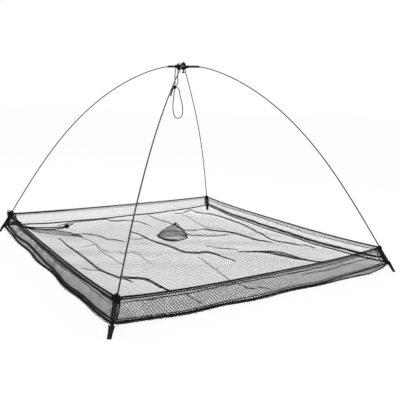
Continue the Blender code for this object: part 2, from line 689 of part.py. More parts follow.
def in_bar_plane(points, sway=0.0):
    """Points given as (towards the left corner, up from the bolt), with a slight sway to the front."""
    left = bearing(LEFT_BEARING)
    front = bearing(LEFT_BEARING + math.pi / 2)
    return [HUB + left * a + Vector((0, 0, b)) + front * sway * math.sin(STRAND_WAVE * b) for a, b in points]


def away(knot, towards, distance):
    """The point at a distance from a knot's centre, on the way to another point."""
    return knot + (towards - knot).normalized() * distance


def lifting_cord():
    """The hitch on the left arm, its lead to the bolt, the two strands, the knot, loop and tail."""
    along_bar = Matrix.Rotation(LEFT_BEARING, 4, "Z") @ Matrix.Translation((HITCH_CENTRE, 0, 0))
    placed = Matrix.Translation(HUB) @ along_bar @ Matrix.Rotation(math.pi / 2, 4, "Y")
    wrapped = BAR_RADIUS + GAP + 2 * CORD_RADIUS
    whipping("lift_hitch", HITCH_TURNS, HITCH_PITCH, BAR_RADIUS + GAP, wrapped, cord_finish("lift_hitch"),
             placed, sides=HITCH_SIDES)
    loop_outer = HOLE_RADIUS + 2 * CORD_RADIUS
    loop_half = BOLT_LOOP_TURNS * HITCH_PITCH / 2
    loop_height = NUT_START + NUT_HEIGHT + GAP + loop_half
    whipping("bolt_loop", BOLT_LOOP_TURNS, HITCH_PITCH, HOLE_RADIUS, loop_outer, cord_finish("bolt_loop"),
             Matrix.Translation(HUB + Vector((0, 0, loop_height))))
    top = wrapped + CORD_RADIUS + GAP
    lead = []
    for k in range(LEAD_POINTS):
        share = k / (LEAD_POINTS - 1)
        lead.append((HITCH_CENTRE + (loop_outer + END_GAP - HITCH_CENTRE) * share,
                     top + (loop_height - top) * share + LEAD_ARCH * math.sin(math.pi * share)))
    tube("hitch_lead", smooth_route(in_bar_plane(lead), 3), CORD_RADIUS, cord_finish("hitch_lead"))
    knot = in_bar_plane([LIFT_KNOT_PLACE])[0]
    ball("lift_knot", LIFT_KNOT_RADIUS, LIFT_KNOT_SQUASH, cord_finish("lift_knot"), knot)
    clear = LIFT_KNOT_RADIUS + END_GAP
    for name, route in (("lift_strand_left", LEFT_STRAND), ("lift_strand_right", RIGHT_STRAND)):
        hung = in_bar_plane([(route[0][0], -wrapped - END_GAP)] + list(route), STRAND_SWAY)
        tube(name, smooth_route(hung + [away(knot, hung[-1], clear)], 2), CORD_RADIUS, cord_finish(name))
    loop = in_bar_plane(LOOP_ROUTE)
    ends = [away(knot, loop[0], clear), away(knot, loop[-1], clear)]
    tube("lift_loop", smooth_route([ends[0]] + loop + [ends[1]], 2), CORD_RADIUS, cord_finish("lift_loop"))
    tail = in_bar_plane(TAIL_ROUTE)
    first = away(knot, tail[0], clear + TAIL_RADIUS / 4)
    tube("lift_tail", smooth_route([first] + tail, 2), TAIL_RADIUS, cord_finish("lift_tail"))


def pocket_place(share, side, height):
    """A point of the bait pocket: along it from mouth to apex, across it, and above the floor."""
    mouth, apex = Vector((*POCKET_MOUTH, 0)), Vector((*POCKET_APEX, 0))
    along = (apex - mouth).normalized()
    across = Vector((along.y, -along.x, 0))
    base = FLOOR_HEIGHT + NET_THICKNESS / 2 + GAP
    return mouth.lerp(apex, share) + across * side + Vector((0, 0, base + height))


def pocket_width(share):
    """Half the bait pocket's width: full at the mouth, drawn in to a gather at the apex."""
    return POCKET_HALF_WIDTH * (POCKET_TAIL + (1 - POCKET_TAIL) * (1 - share ** POCKET_WIDTH_POWER))


def pocket_height(share):
    """The bait pocket's height above the floor: full at the mouth and low at the apex."""
    return POCKET_HEIGHT * (POCKET_TAIL + (1 - POCKET_TAIL) * (1 - share ** POCKET_HEIGHT_POWER))


def bait_pocket():
    """A pocket of closer netting sewn to the floor, puffed up at its mouth and gathered at its apex."""
    length = (Vector(POCKET_APEX) - Vector(POCKET_MOUTH)).length
    outside, inside = [], []
    for row in range(POCKET_ROWS):
        share = row / (POCKET_ROWS - 1) * (1 - POCKET_KNOT_RADIUS / length)
        for layer, thin in ((outside, 0.0), (inside, POCKET_CLOTH)):
            width, height = pocket_width(share) - thin, pocket_height(share) - thin
            for k in range(POCKET_RIBS + 1):
                angle = math.pi * k / POCKET_RIBS
                forward = POCKET_LIP_BOW * math.sin(angle) ** 2 * (1 - share) ** 2 / length
                layer.append(pocket_place(share - forward, width * math.cos(angle), height * math.sin(angle)))
    count, ribs = len(outside), POCKET_RIBS + 1
    faces = []
    for row in range(POCKET_ROWS - 1):
        for k in range(POCKET_RIBS):
            a = row * ribs + k
            face = (a, a + ribs, a + ribs + 1, a + 1)
            faces += [face, tuple(count + i for i in reversed(face))]
        for k, flip in ((0, False), (POCKET_RIBS, True)):
            a, b = row * ribs + k, (row + 1) * ribs + k
            face = (a, count + a, count + b, b)
            faces.append(tuple(reversed(face)) if flip else face)
    for row, flip in ((0, False), (POCKET_ROWS - 1, True)):
        for k in range(POCKET_RIBS):
            a, b = row * ribs + k, row * ribs + k + 1
            face = (a, b, count + b, count + a)
            faces.append(tuple(reversed(face)) if flip else face)
    add("bait_pocket", mesh("bait_pocket", outside + inside, faces), net_finish("bait_pocket"))
    ball("pocket_knot", POCKET_KNOT_RADIUS, POCKET_KNOT_SQUASH, cord_finish("pocket_knot"),
         pocket_place(1.0, 0, POCKET_KNOT_RADIUS * POCKET_KNOT_SQUASH))
    seam = []
    for k in range(SEAM_STEPS + 1):
        side = 2 * k / SEAM_STEPS - 1
        bow = SEAM_RADIUS + GAP + SEAM_BOW * (1 - side ** 2)
        seam.append(pocket_place(-bow / length, side * POCKET_HALF_WIDTH, SEAM_RADIUS))
    tube("pocket_seam_cord", seam, SEAM_RADIUS, cord_finish("pocket_seam_cord"))


def storage_tie():
    """The cord that holds the folded net together, left lying on the floor netting by the left corner."""
    knot = Vector(TIE_KNOT_PLACE)
    ball("storage_tie_knot", TIE_KNOT_RADIUS, TIE_KNOT_SQUASH, cord_finish("storage_tie_knot"), knot)
    clear = TIE_KNOT_RADIUS + END_GAP
    for name, places in (("storage_tie", TIE_ROUTE), ("storage_tie_return", TIE_RETURN_ROUTE),
                         ("storage_tie_tail", tuple(reversed(TIE_TAIL_ROUTE)))):
        route = [Vector(p) for p in places]
        route.append(away(knot, route[-1], clear))
        tube(name, smooth_route(route, 2), TIE_RADIUS, cord_finish(name))


def hub(swivel):
    """The two bars crossed on the pivot bolt, with a washer and a nut above and below them."""
    cross_bar("cross_bar_lower", "lower", -1)
    cross_bar("cross_bar_upper", "upper", 1, swivel)
    pivot_bolt()
    washer("washer_upper", WASHER_TOP)
    washer("washer_lower", -WASHER_TOP - WASHER_THICKNESS)
    nut("nut_upper", NUT_START)
    nut("nut_lower", -NUT_START - NUT_HEIGHT)


def corner_group(corner):
    """A rod and what is tied to it at its corner of the net."""
    skew = CROSS_SKEW if corner.on_upper_bar else 0.0
    guide = pivot("rod_guide_" + corner.name, HUB + bearing(corner.bearing + skew) * MOUTH_RADIUS)
    name = "rod_" + corner.name
    tube(name, rod_route(corner), ROD_RADIUS, rod_finish(name), guide)
    inner = ROD_RADIUS + GAP
    for label, turns, radius, distance in (("rim", RIM_LASH_TURNS, RIM_LASH_RADIUS, 0.0),
                                           ("hem", HEM_LASH_TURNS, HEM_LASH_RADIUS, HEM_DISTANCE)):
        name = label + "_lashing_" + corner.name
        placed = corner_frame(corner, distance)
        whipping(name, turns, WHIP_PITCH, inner, radius, cord_finish(name), placed, guide)
    corner_tape(corner, guide)
    foot_pocket(corner, guide)


def build():
    """Makes the whole lift net in an empty scene."""
    for old in list(bpy.data.objects):
        bpy.data.objects.remove(old)
    swivel = pivot("swivel_axis", HUB)
    hub(swivel)
    for corner in CORNERS:
        corner_group(corner)
    for wall in WALLS:
        tube("rim_cord_" + wall.name, side_cord(wall, False)[0], RIM_CORD_RADIUS,
             cord_finish("rim_cord_" + wall.name))
        tube("hem_cord_" + wall.name, side_cord(wall, True)[0], HEM_CORD_RADIUS,
             cord_finish("hem_cord_" + wall.name))
        wall_net(wall)
    net_floor()
    bait_pocket()
    lifting_cord()
    storage_tie()


build()
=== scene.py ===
"""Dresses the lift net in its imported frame: netting, side cords, lifting cord, metal, camera and studio.

Metres, +Z up, in the frame of the CAD model. Corners and sides are named as the model's nodes are.
"""
import logging
import math
from dataclasses import dataclass, field
from enum import Enum
from typing import Any, Callable, Optional, Sequence, Union

import bpy
import numpy as np
from mathutils import Matrix, Vector


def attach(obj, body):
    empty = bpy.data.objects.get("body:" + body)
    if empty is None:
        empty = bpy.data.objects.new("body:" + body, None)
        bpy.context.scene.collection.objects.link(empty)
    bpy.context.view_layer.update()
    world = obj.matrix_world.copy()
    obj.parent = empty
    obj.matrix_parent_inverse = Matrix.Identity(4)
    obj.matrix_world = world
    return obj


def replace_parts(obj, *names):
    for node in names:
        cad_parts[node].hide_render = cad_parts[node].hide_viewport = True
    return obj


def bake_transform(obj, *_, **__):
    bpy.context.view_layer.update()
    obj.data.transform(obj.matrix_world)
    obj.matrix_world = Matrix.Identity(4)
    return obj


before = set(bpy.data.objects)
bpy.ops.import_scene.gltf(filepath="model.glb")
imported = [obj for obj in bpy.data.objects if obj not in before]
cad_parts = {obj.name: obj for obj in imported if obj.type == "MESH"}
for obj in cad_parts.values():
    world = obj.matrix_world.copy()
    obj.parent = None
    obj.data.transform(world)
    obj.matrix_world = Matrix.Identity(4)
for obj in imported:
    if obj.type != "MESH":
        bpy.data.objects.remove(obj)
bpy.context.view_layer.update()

LOG = logging.getLogger("lift_net")
UP = np.array((0.0, 0.0, 1.0))
ASKEW = np.array((0.3, 0.5, 0.8))   # a direction that no knot's cord runs along
GAP = 0.0003              # between pieces that touch, as in the model
END_GAP = 0.0005          # between a cord's end and what it goes into
CUT = 0.30                # share of a side that belongs to the piece at its corner
HALF_STEPS = 220          # half diamonds of netting along one side of the floor
STRETCHED = (0.515, 0.700)   # where the net starts and ends giving way to a rod, from the middle
LOWEST_STRAND = 0.0012    # how near the ground a bunched strand comes
LOWEST_FRINGE = 0.0030    # and how near the slack fringe does
MIX_A, MIX_B, MIX_RESULT = 6, 7, 2   # the colour sockets of Blender's Mix node
Array = np.ndarray
Number = Union[float, Array]


def unit(vectors: Array) -> Array:
    """The vectors at length one."""
    return vectors / np.linalg.norm(vectors, axis=-1, keepdims=True)


def smooth_route(points: Sequence, steps: int) -> Array:
    """Points along a smooth curve through a route's own points.

    Args:
        points: the route's points.
        steps: how many pieces each stretch is cut into.
    Returns:
        The curve's points, first and last included.
    """
    route = np.array(points, float)
    route = np.vstack([2 * route[0] - route[1], route, 2 * route[-1] - route[-2]])
    t = (np.arange(steps) / steps)[:, None]
    line = []
    for a, b, c, d in zip(route, route[1:], route[2:], route[3:]):
        line.append(0.5 * (2 * b + (c - a) * t + (2 * a - 5 * b + 4 * c - d) * t ** 2
                           + (3 * b - a - 3 * c + d) * t ** 3))
    return np.vstack(line + [route[-2][None]])


def distances(line: Array) -> Array:
    """How far along a line each of its points lies."""
    return np.concatenate([[0.0], np.cumsum(np.linalg.norm(np.diff(line, axis=0), axis=1))])


def on_ground(route: Sequence, steps: int) -> Array:
    """A smooth line on the ground, through places given as (x, y)."""
    return smooth_route([(x, y, 0.0) for x, y in route], steps)


def evenly(line: Array, spacing: float) -> Array:
    """The same line with its points spread evenly, about a spacing apart."""
    far = distances(line)
    steps = np.linspace(0.0, far[-1], max(2, round(far[-1] / spacing)) + 1)
    return np.stack([np.interp(steps, far, part) for part in line.T], axis=1)


def each(value: Number, line: Array) -> Array:
    """A value for each point of a line, as a column."""
    return np.broadcast_to(np.asarray(value, float), (len(line),))[:, None]


def circle(count: int, offset: float = 0.0) -> Array:
    """Even angles round a whole turn, the first of them a share of a step on."""
    return 2 * math.pi * (np.arange(count) + offset) / count


def ring(reach: Number, turn: Array, height: Number) -> Array:
    """Points round the upright axis, at a reach and a height."""
    return np.stack(np.broadcast_arrays(reach * np.cos(turn), reach * np.sin(turn), height), -1)


def squared(share: Array, power: float) -> Array:
    """A circle's cosines or sines, which a power over 2 draws out towards a square's."""
    return np.sign(share) * np.abs(share) ** (2 / power)


def rolled(angle: float, axes: Array = np.eye(3)) -> Array:
    """Three directions as rows, turned about the last of them."""
    c, s = math.cos(angle), math.sin(angle)
    return np.array(((c, s, 0.0), (-s, c, 0.0), (0.0, 0.0, 1.0))) @ axes


def frames(line: Array, up: Array, closed: bool = False) -> tuple[Array, Array]:
    """Two directions square to a line at each of its points.

    Args:
        line: the line's points.
        up: a direction that the line never runs along.
        closed: whether the last point joins the first.
    Returns:
        The directions over and across, which turn anticlockwise about the line's way.
    """
    along = np.roll(line, -1, 0) - np.roll(line, 1, 0) if closed else np.gradient(line, axis=0)
    across = unit(np.cross(unit(along), up))
    return unit(np.cross(across, along)), across


def helix(line: Array, radius: Number, turns: float, up: Array, phase: float = 0.0) -> Array:
    """The line of a cord wound round another line, a whole number of turns or a part of one."""
    over, across = frames(line, up)
    angle = (phase + 2 * math.pi * turns * np.linspace(0, 1, len(line)))[:, None]
    return line + each(radius, line) * (np.cos(angle) * over + np.sin(angle) * across)


class Lay(Enum):
    """How a cord's surface is laid: (strands, depth of the grooves, diameters in one turn)."""

    PLAIN = (0, 0.0, 1.0)
    TWISTED = (3, 0.17, 3.2)
    BRAIDED = (4, 0.09, 2.6)

    def relief(self, turn: Array, distance: Array, radius: float) -> Array:
        """How far the surface stands out, as a share of the radius, over angles and distances."""
        strands, depth, pitch = self.value
        if self is Lay.PLAIN:
            return np.ones((len(distance), len(turn)))
        way = 2 * math.pi * distance[:, None] / (pitch * 2 * radius)
        if self is Lay.TWISTED:
            return 1 - depth * (1 - np.abs(np.cos(strands / 2 * turn - way / 2 * strands)))
        return 1 - depth * (0.5 - 0.5 * np.cos(strands * turn + way) * np.cos(strands * turn - way))


class Skin:
    """Points and faces that gather into the mesh of one piece."""

    def __init__(self) -> None:
        """An empty skin."""
        self.points: list[Array] = []
        self.faces: list[Array] = []
        self.count = 0

    def add(self, points: Array, faces: Sequence[Array]) -> None:
        """Adds points, and faces that number them from nought."""
        self.points.append(points.reshape(-1, 3))
        self.faces += [np.asarray(some) + self.count for some in faces]
        self.count += len(self.points[-1])

    def loft(self, rings: Array, closed: bool = False, capped: bool = True) -> None:
        """A skin over rings of points.

        Args:
            rings: the points, as (ring, point, 3), anticlockwise about the way from first to last.
            closed: whether the last ring joins the first.
            capped: whether the two ends are closed.
        """
        rows, sides = rings.shape[:2]
        row = np.arange(rows if closed else rows - 1)[:, None] * sides
        k = np.arange(sides)[None]
        after, ahead = (k + 1) % sides, (row + sides) % (rows * sides)
        faces = [np.stack([row + k, row + after, ahead + after, ahead + k], -1).reshape(-1, 4)]
        if capped and not closed:
            faces += [k[:, ::-1], k + (rows - 1) * sides]
        self.add(rings, faces)

    def tube(self, line: Array, radius: Number, sides: int = 6, up: Array = UP, lay: Lay = Lay.PLAIN,
             closed: bool = False) -> None:
        """A cord along a line.

        Args:
            line: the cord's centreline.
            radius: its radius, one number or one for each point.
            sides: how many sides its section has.
            up: a direction that the line never runs along.
            lay: how its surface is laid.
            closed: whether its end joins its start.
        """
        over, across = frames(line, up, closed)
        turn = circle(sides)
        reach = (each(radius, line) * lay.relief(turn, distances(line), float(np.max(radius))))[..., None]
        self.loft(line[:, None] + reach * (np.cos(turn)[None, :, None] * over[:, None]
                                           + np.sin(turn)[None, :, None] * across[:, None]), closed)

    def beads(self, centres: Array, sizes: Array, axes: Array) -> None:
        """Small eight-sided lumps, such as the knots of netting, with one size along each axis."""
        arms = axes * np.asarray(sizes)[:, None]
        points = centres[:, None] + np.concatenate([arms, -arms])[None]
        faces = np.array([(0, 1, 2), (1, 3, 2), (3, 4, 2), (4, 0, 2),
                          (1, 0, 5), (3, 1, 5), (4, 3, 5), (0, 4, 5)])
        self.add(points, [(np.arange(len(centres))[:, None, None] * 6 + faces[None]).reshape(-1, 3)])

    def lump(self, centre: Array, sizes: Sequence[float], axes: Array = np.eye(3)) -> None:
        """A rounded lump, such as the drawn-up middle of a knot, with a half size along each axis."""
        rise, turn = np.linspace(-1.35, 1.35, 9)[:, None], circle(14)[None]
        self.loft(centre + (ring(np.cos(rise), turn, np.sin(rise)) * np.array(sizes)) @ axes)

    def mesh(self, name: str, smooth_angle: float) -> bpy.types.Mesh:
        """The finished mesh, shaded smooth over edges shallower than an angle in degrees."""
        sizes = np.concatenate([np.full(len(some), some.shape[1]) for some in self.faces])
        corners = np.concatenate([some.ravel() for some in self.faces]).astype(np.int32)
        data = bpy.data.meshes.new(name)
        data.vertices.add(self.count)
        data.vertices.foreach_set("co", np.concatenate(self.points).ravel().astype(np.float32))
        data.loops.add(len(corners))
        data.loops.foreach_set("vertex_index", corners)
        data.polygons.add(len(sizes))
        data.polygons.foreach_set("loop_start", (np.cumsum(sizes) - sizes).astype(np.int32))
        data.update(calc_edges=True)
        data.shade_smooth()
        if smooth_angle < 180:
            data.set_sharp_from_angle(angle=math.radians(smooth_angle))
        return data

    def piece(self, name: str, finish: "Finish", smooth_angle: float = 180) -> bpy.types.Object:
        """The finished piece, linked to the scene with its material."""
        piece = linked(name, self.mesh(name, smooth_angle))
        piece.data.materials.append(finish.material())
        return piece


def linked(name: str, data: Any) -> bpy.types.Object:
    """A new object that holds the data, in the scene."""
    piece = bpy.data.objects.new(name, data)
    bpy.context.scene.collection.objects.link(piece)
    return piece


def lay_flat_map(piece: bpy.types.Object) -> None:
    """Gives a large piece a plain map, seen square to its two widest directions, for its baked finish."""
    data = piece.data
    points = np.empty(len(data.vertices) * 3, np.float32)
    data.vertices.foreach_get("co", points)
    points = points.reshape(-1, 3)
    low, size = points.min(0), np.ptp(points, axis=0)
    wide = np.sort(np.argsort(size)[1:])
    flat = (points[:, wide] - low[wide]) / size[wide].max()
    corners = np.empty(len(data.loops), np.int32)
    data.loops.foreach_get("vertex_index", corners)
    layer = data.uv_layers.new(name="OFBake")
    layer.data.foreach_set("uv", flat[corners].astype(np.float32).ravel())


class Corner(Enum):
    """The tray's corners.

    Args:
        bearing: the way to it from the middle, in degrees from +X.
        carrier: the body that its rod slides in.
        bunches: its netting drawn together: each one's distance from the corner at the rim and at the
            hem, its half width and its strands.
        wad: how far the knotted cord on the rim lashing reaches.
        band: the strands just inside the rod, and their half width.
    """

    LEFT = (135.0, "root", ((0.002, 0.004, 0.005, 34), (0.014, 0.045, 0.006, 44)), 0.0155, (64, 0.0068))
    FRONT = (225.0, "upper_bar", ((0.002, 0.003, 0.003, 20),), 0.0130, (8, 0.0040))
    RIGHT = (315.0, "root", ((0.003, 0.006, 0.004, 24), (0.022, 0.026, 0.0025, 6)), 0.0080, (54, 0.0060))
    BACK = (45.0, "upper_bar", ((0.003, 0.006, 0.004, 14),), 0.0085, (20, 0.0060))

    def __init__(self, bearing: float, carrier: str, bunches: tuple, wad: float, band: tuple) -> None:
        """Keeps a corner's facts, and the level directions outwards and across its rod."""
        self.bearing, self.carrier, self.bunches, self.wad, self.band = bearing, carrier, bunches, wad, band
        angle = math.radians(bearing)
        self.out = np.array((math.cos(angle), math.sin(angle), 0.0))
        self.across = np.array((-self.out[1], self.out[0], 0.0))

    @property
    def label(self) -> str:
        """The corner's name in the model's nodes."""
        return self.name.lower()

    @property
    def rod_body(self) -> str:
        """The body of the rod and what is tied to it."""
        return self.label + "_rod"


@dataclass(frozen=True)
class Gather:
    """Netting drawn together on a wall: its line as shares along and down, half width and strands."""

    route: tuple[tuple[float, float], ...]
    width: float
    strands: int


@dataclass(frozen=True)
class Side:
    """One side of the tray, how its slack rim and hem hang, and where its netting is bunched."""

    start: Corner
    end: Corner
    rim_sag: float
    rim_bow: float
    hem_drop: float
    hem_bow: float
    bands: tuple[tuple[float, float], ...] = ()   # share of the way down, and half width as a share
    fringe: float = 0.009                         # how far netting hangs out below the hem
    strand: float = 0.00042                       # radius of one strand of its netting
    gathers: tuple[Gather, ...] = ()
    mesh: tuple[int, int] = (260, 16)             # half diamonds along the wall and down it
    turned: tuple[float, ...] = (0.16, 0.09)      # how far down its turned edges reach
    hang: tuple = ((0.0, 1.0), (1.0, 1.0))        # where its slack netting ends, along and down
    stretch: float = 0.0                          # how much wider its meshes are at its end than half way

    @property
    def label(self) -> str:
        """The side's name in the model's nodes."""
        return f"{self.start.label}_{self.end.label}"

    @property
    def columns(self) -> Array:
        """The share along the side of each column of its netting."""
        t = np.arange(self.mesh[0] + 1) / self.mesh[0]
        return t + self.stretch * t * (t - 1)


SLACK_HEM = ((0.46, 1.0), (0.52, 1.07), (0.60, 1.10), (0.70, 1.12), (0.80, 1.18), (0.86, 1.23), (0.92, 1.23),
             (0.97, 1.15), (1.0, 1.0))
SIDES = (
    Side(Corner.LEFT, Corner.FRONT, 0.022, 0.008, 0.023, 0.008, ((0.20, 0.10), (0.66, 0.13)), 0.006,
         0.00066, (
        Gather(((0.0, 0.08), (1.0, 0.08)), 0.0024, 22),
        Gather(((0.02, 0.30), (0.30, 0.26), (0.64, 0.30), (0.72, 0.22), (0.80, 0.30), (0.87, 0.35),
                (0.99, 0.35)), 0.0016, 10),
        Gather(((0.0, 0.86), (0.31, 0.80), (0.53, 0.84), (0.71, 0.92), (1.0, 0.93)), 0.0048, 36),
        Gather(((0.70, 0.20), (0.75, 0.45), (0.77, 0.73)), 0.0010, 7)), (196, 10)),
    Side(Corner.FRONT, Corner.RIGHT, 0.017, 0.006, 0.023, 0.010, ((0.92, 0.05),), 0.006, 0.00082, (
        Gather(((0.01, 0.18), (0.05, 0.15), (0.10, 0.18), (0.16, 0.15), (0.22, 0.15), (0.40, 0.14),
                (0.60, 0.17), (0.80, 0.16), (0.99, 0.14)), 0.0016, 10),
        Gather(((0.20, 0.18), (0.235, 0.60), (0.27, 0.98)), 0.0012, 11),
        Gather(((0.36, 0.03), (0.39, 0.28), (0.42, 0.53), (0.465, 0.62), (0.50, 0.83)), 0.0012, 9),
        Gather(((0.62, 0.35), (0.66, 0.35), (0.75, 0.43), (0.84, 0.43), (0.95, 0.40)), 0.0014, 6),
        Gather(((0.0, 0.94), (1.0, 0.94)), 0.0016, 9),
        Gather(SLACK_HEM, 0.0016, 12)), (196, 12), (0.05,), ((0.0, 1.0),) + SLACK_HEM, 0.09),
    Side(Corner.RIGHT, Corner.BACK, 0.010, 0.006, 0.016, 0.012, ((0.26, 0.12), (0.74, 0.13)), 0.009,
         0.00030, (
        Gather(((0.0, 0.84), (0.10, 0.90), (0.50, 0.92), (1.0, 0.93)), 0.0062, 36),
        Gather(((0.0, 0.24), (1.0, 0.30)), 0.0012, 5))),
    Side(Corner.BACK, Corner.LEFT, 0.004, 0.004, 0.012, 0.012, ((0.85, 0.10),), 0.009, 0.00028, (
        Gather(((0.75, 0.02), (1.0, 0.02)), 0.0024, 12), Gather(((0.94, 0.93), (1.0, 0.95)), 0.0060, 44))))
WEST, SOUTH, EAST, NORTH = SIDES


def slack(share: Array) -> Array:
    """How far a slack cord has dropped at a share of its span: steep at its ends, level between."""
    return 1 - np.abs(2 * share - 1) ** 3


@dataclass(frozen=True)
class TrayShape:
    """The tray's sizes and the surfaces that follow from them, as in the model."""

    side: float = 1.000
    rim_height: float = 0.080
    hem_height: float = 0.030
    floor_height: float = 0.004
    rim_radius: float = 0.0025
    hem_radius: float = 0.0022
    edge_gap: float = 0.0006
    rim_lashing: float = 0.0055
    hem_lashing: float = 0.0050
    hem_wave: float = 0.0035
    waves: int = 4
    wall_wave: float = 0.0040
    floor_fall: int = 6
    rod_tilt: float = math.radians(57.3)

    @property
    def corner_radius(self) -> float:
        """From the middle to a rim corner."""
        return self.side / math.sqrt(2)

    @property
    def hem_distance(self) -> float:
        """From the rim to the hem, along a rod."""
        return (self.rim_height - self.hem_height) / math.sin(self.rod_tilt)

    @property
    def hem_spread(self) -> float:
        """How much further out a hem corner is than its rim corner."""
        return self.hem_distance * math.cos(self.rod_tilt)

    def cord_start(self, hem: bool) -> float:
        """How far from its corner a side cord starts in the model, clear of the lashing."""
        lean = math.cos(self.rod_tilt) / math.sqrt(2)
        lashing, radius = (self.hem_lashing, self.hem_radius) if hem else (self.rim_lashing, self.rim_radius)
        return (lashing + END_GAP + lean * radius) / math.sqrt(1 - lean ** 2)

    def side_line(self, side: Side, hem: bool, share: Array) -> tuple[Array, Array]:
        """The centreline of a rim or hem cord.

        Args:
            side: the side of the tray.
            hem: the hem cord, or else the rim cord.
            share: where along it, from 0 to 1.
        Returns:
            The points, and the level direction from that side to the middle of the tray.
        """
        reach = self.corner_radius + (self.hem_spread if hem else 0.0)
        first, last = side.start.out * reach, side.end.out * reach
        span = float(np.linalg.norm(last - first))
        along = (last - first) / span
        inwards = np.array((-along[1], along[0], 0.0))
        start = self.cord_start(hem) / span
        drop, bow = (side.hem_drop, side.hem_bow) if hem else (side.rim_sag, side.rim_bow)
        loose = slack(share)
        wave = self.hem_wave * np.sin(2 * math.pi * self.waves * share) * loose if hem else 0.0
        place = first + (last - first) * (start + (1 - 2 * start) * share)[:, None]
        place = place + inwards * (bow * loose + wave)[:, None]
        height = (self.hem_height if hem else self.rim_height) - drop * loose
        return place + UP * height[:, None], inwards

    def wall(self, side: Side, share: Array, down: Array, proud: Number = 0.0) -> Array:
        """The netting of one wall.

        Args:
            side: the side of the tray.
            share: where along the side, from 0 to 1, for each point.
            down: how far from rim to hem, from 0 to 1, for each point.
            proud: how far outside the netting's own surface.
        Returns:
            The points.
        """
        rim, inwards = self.side_line(side, False, share)
        hem, _ = self.side_line(side, True, share)
        way = unit(hem - rim)
        top = rim + way * (self.rim_radius + self.edge_gap)
        low = hem - way * (self.hem_radius + self.edge_gap)
        bunched = down.copy()
        for middle, width in side.bands:
            aside = (down - middle - 0.05 * np.sin(9 * share + 20 * middle)) / width
            ends = np.clip(np.minimum(down, 1 - down) * 8, 0, 1)
            bunched -= 0.80 * width * aside * np.exp(-aside ** 2 / 2) * ends
        belly = 4 * bunched * (1 - bunched)
        fold = self.wall_wave * np.sin(math.pi * self.waves * share) * belly
        fold += 0.0018 * np.sin(34 * share + 3 * bunched) * belly + 0.0012 * np.sin(90 * share) * belly
        return top + (low - top) * bunched[:, None] - inwards * (fold + proud)[:, None]

    def floor_edge(self, side: Side, share: Array) -> Array:
        """The floor's edge along one side, just inside its hem cord, from corner to corner."""
        hem, inwards = self.side_line(side, True, share)
        near = self.hem_radius + self.edge_gap
        ends = np.clip(1 - 16 * np.minimum(share, 1 - share), 0, 1)
        return hem + inwards * (near + (self.cord_start(True) - near) * ends)[:, None]

    def floor(self, u: Array, v: Array) -> Array:
        """The smooth floor, before its creases, at shares from west to east and from south to north."""
        edge = {name: self.floor_edge(side, share) for name, side, share in
                (("s", SOUTH, u), ("n", NORTH, 1 - u), ("w", WEST, 1 - v), ("e", EAST, v))}
        ends = np.array((0.0, 1.0))
        south, north = self.floor_edge(SOUTH, ends), self.floor_edge(NORTH, ends)[::-1]
        u, v = u[:, None], v[:, None]
        place = (edge["s"] * (1 - v) + edge["n"] * v + edge["w"] * (1 - u) + edge["e"] * u
                 - south[0] * (1 - u) * (1 - v) - south[1] * u * (1 - v)
                 - north[0] * (1 - u) * v - north[1] * u * v)
        inside = np.minimum(np.minimum(u, 1 - u), np.minimum(v, 1 - v))[:, 0]
        fall = np.abs(1 - 2 * inside) ** self.floor_fall
        place[:, 2] = self.floor_height + (place[:, 2] - self.floor_height) * fall
        return place

    def corner_place(self, corner: Corner, distance: float = 0.0) -> tuple[Array, Array]:
        """A place on a corner's rod, at a distance below the rim.

        Args:
            corner: the corner.
            distance: how far down the rod from the rim.
        Returns:
            The place, and three directions as rows: across the rod, outwards and up, and down the rod.
        """
        down = corner.out * math.cos(self.rod_tilt) - UP * math.sin(self.rod_tilt)
        place = corner.out * self.corner_radius + UP * self.rim_height + down * distance
        return place, np.array((corner.across, np.cross(down, corner.across), down))


def swing(piece: bpy.types.Object) -> bpy.types.Object:
    """Bakes a piece of one side into its place in the world frame."""
    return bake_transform(piece)


def pull(piece: bpy.types.Object, corner: Corner) -> bpy.types.Object:
    """Bakes a piece at one corner into its place in the world frame."""
    near, far = STRETCHED
    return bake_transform(piece, corner.carrier, corner.rod_body, start=tuple(corner.out * near),
                    end=tuple(corner.out * far))


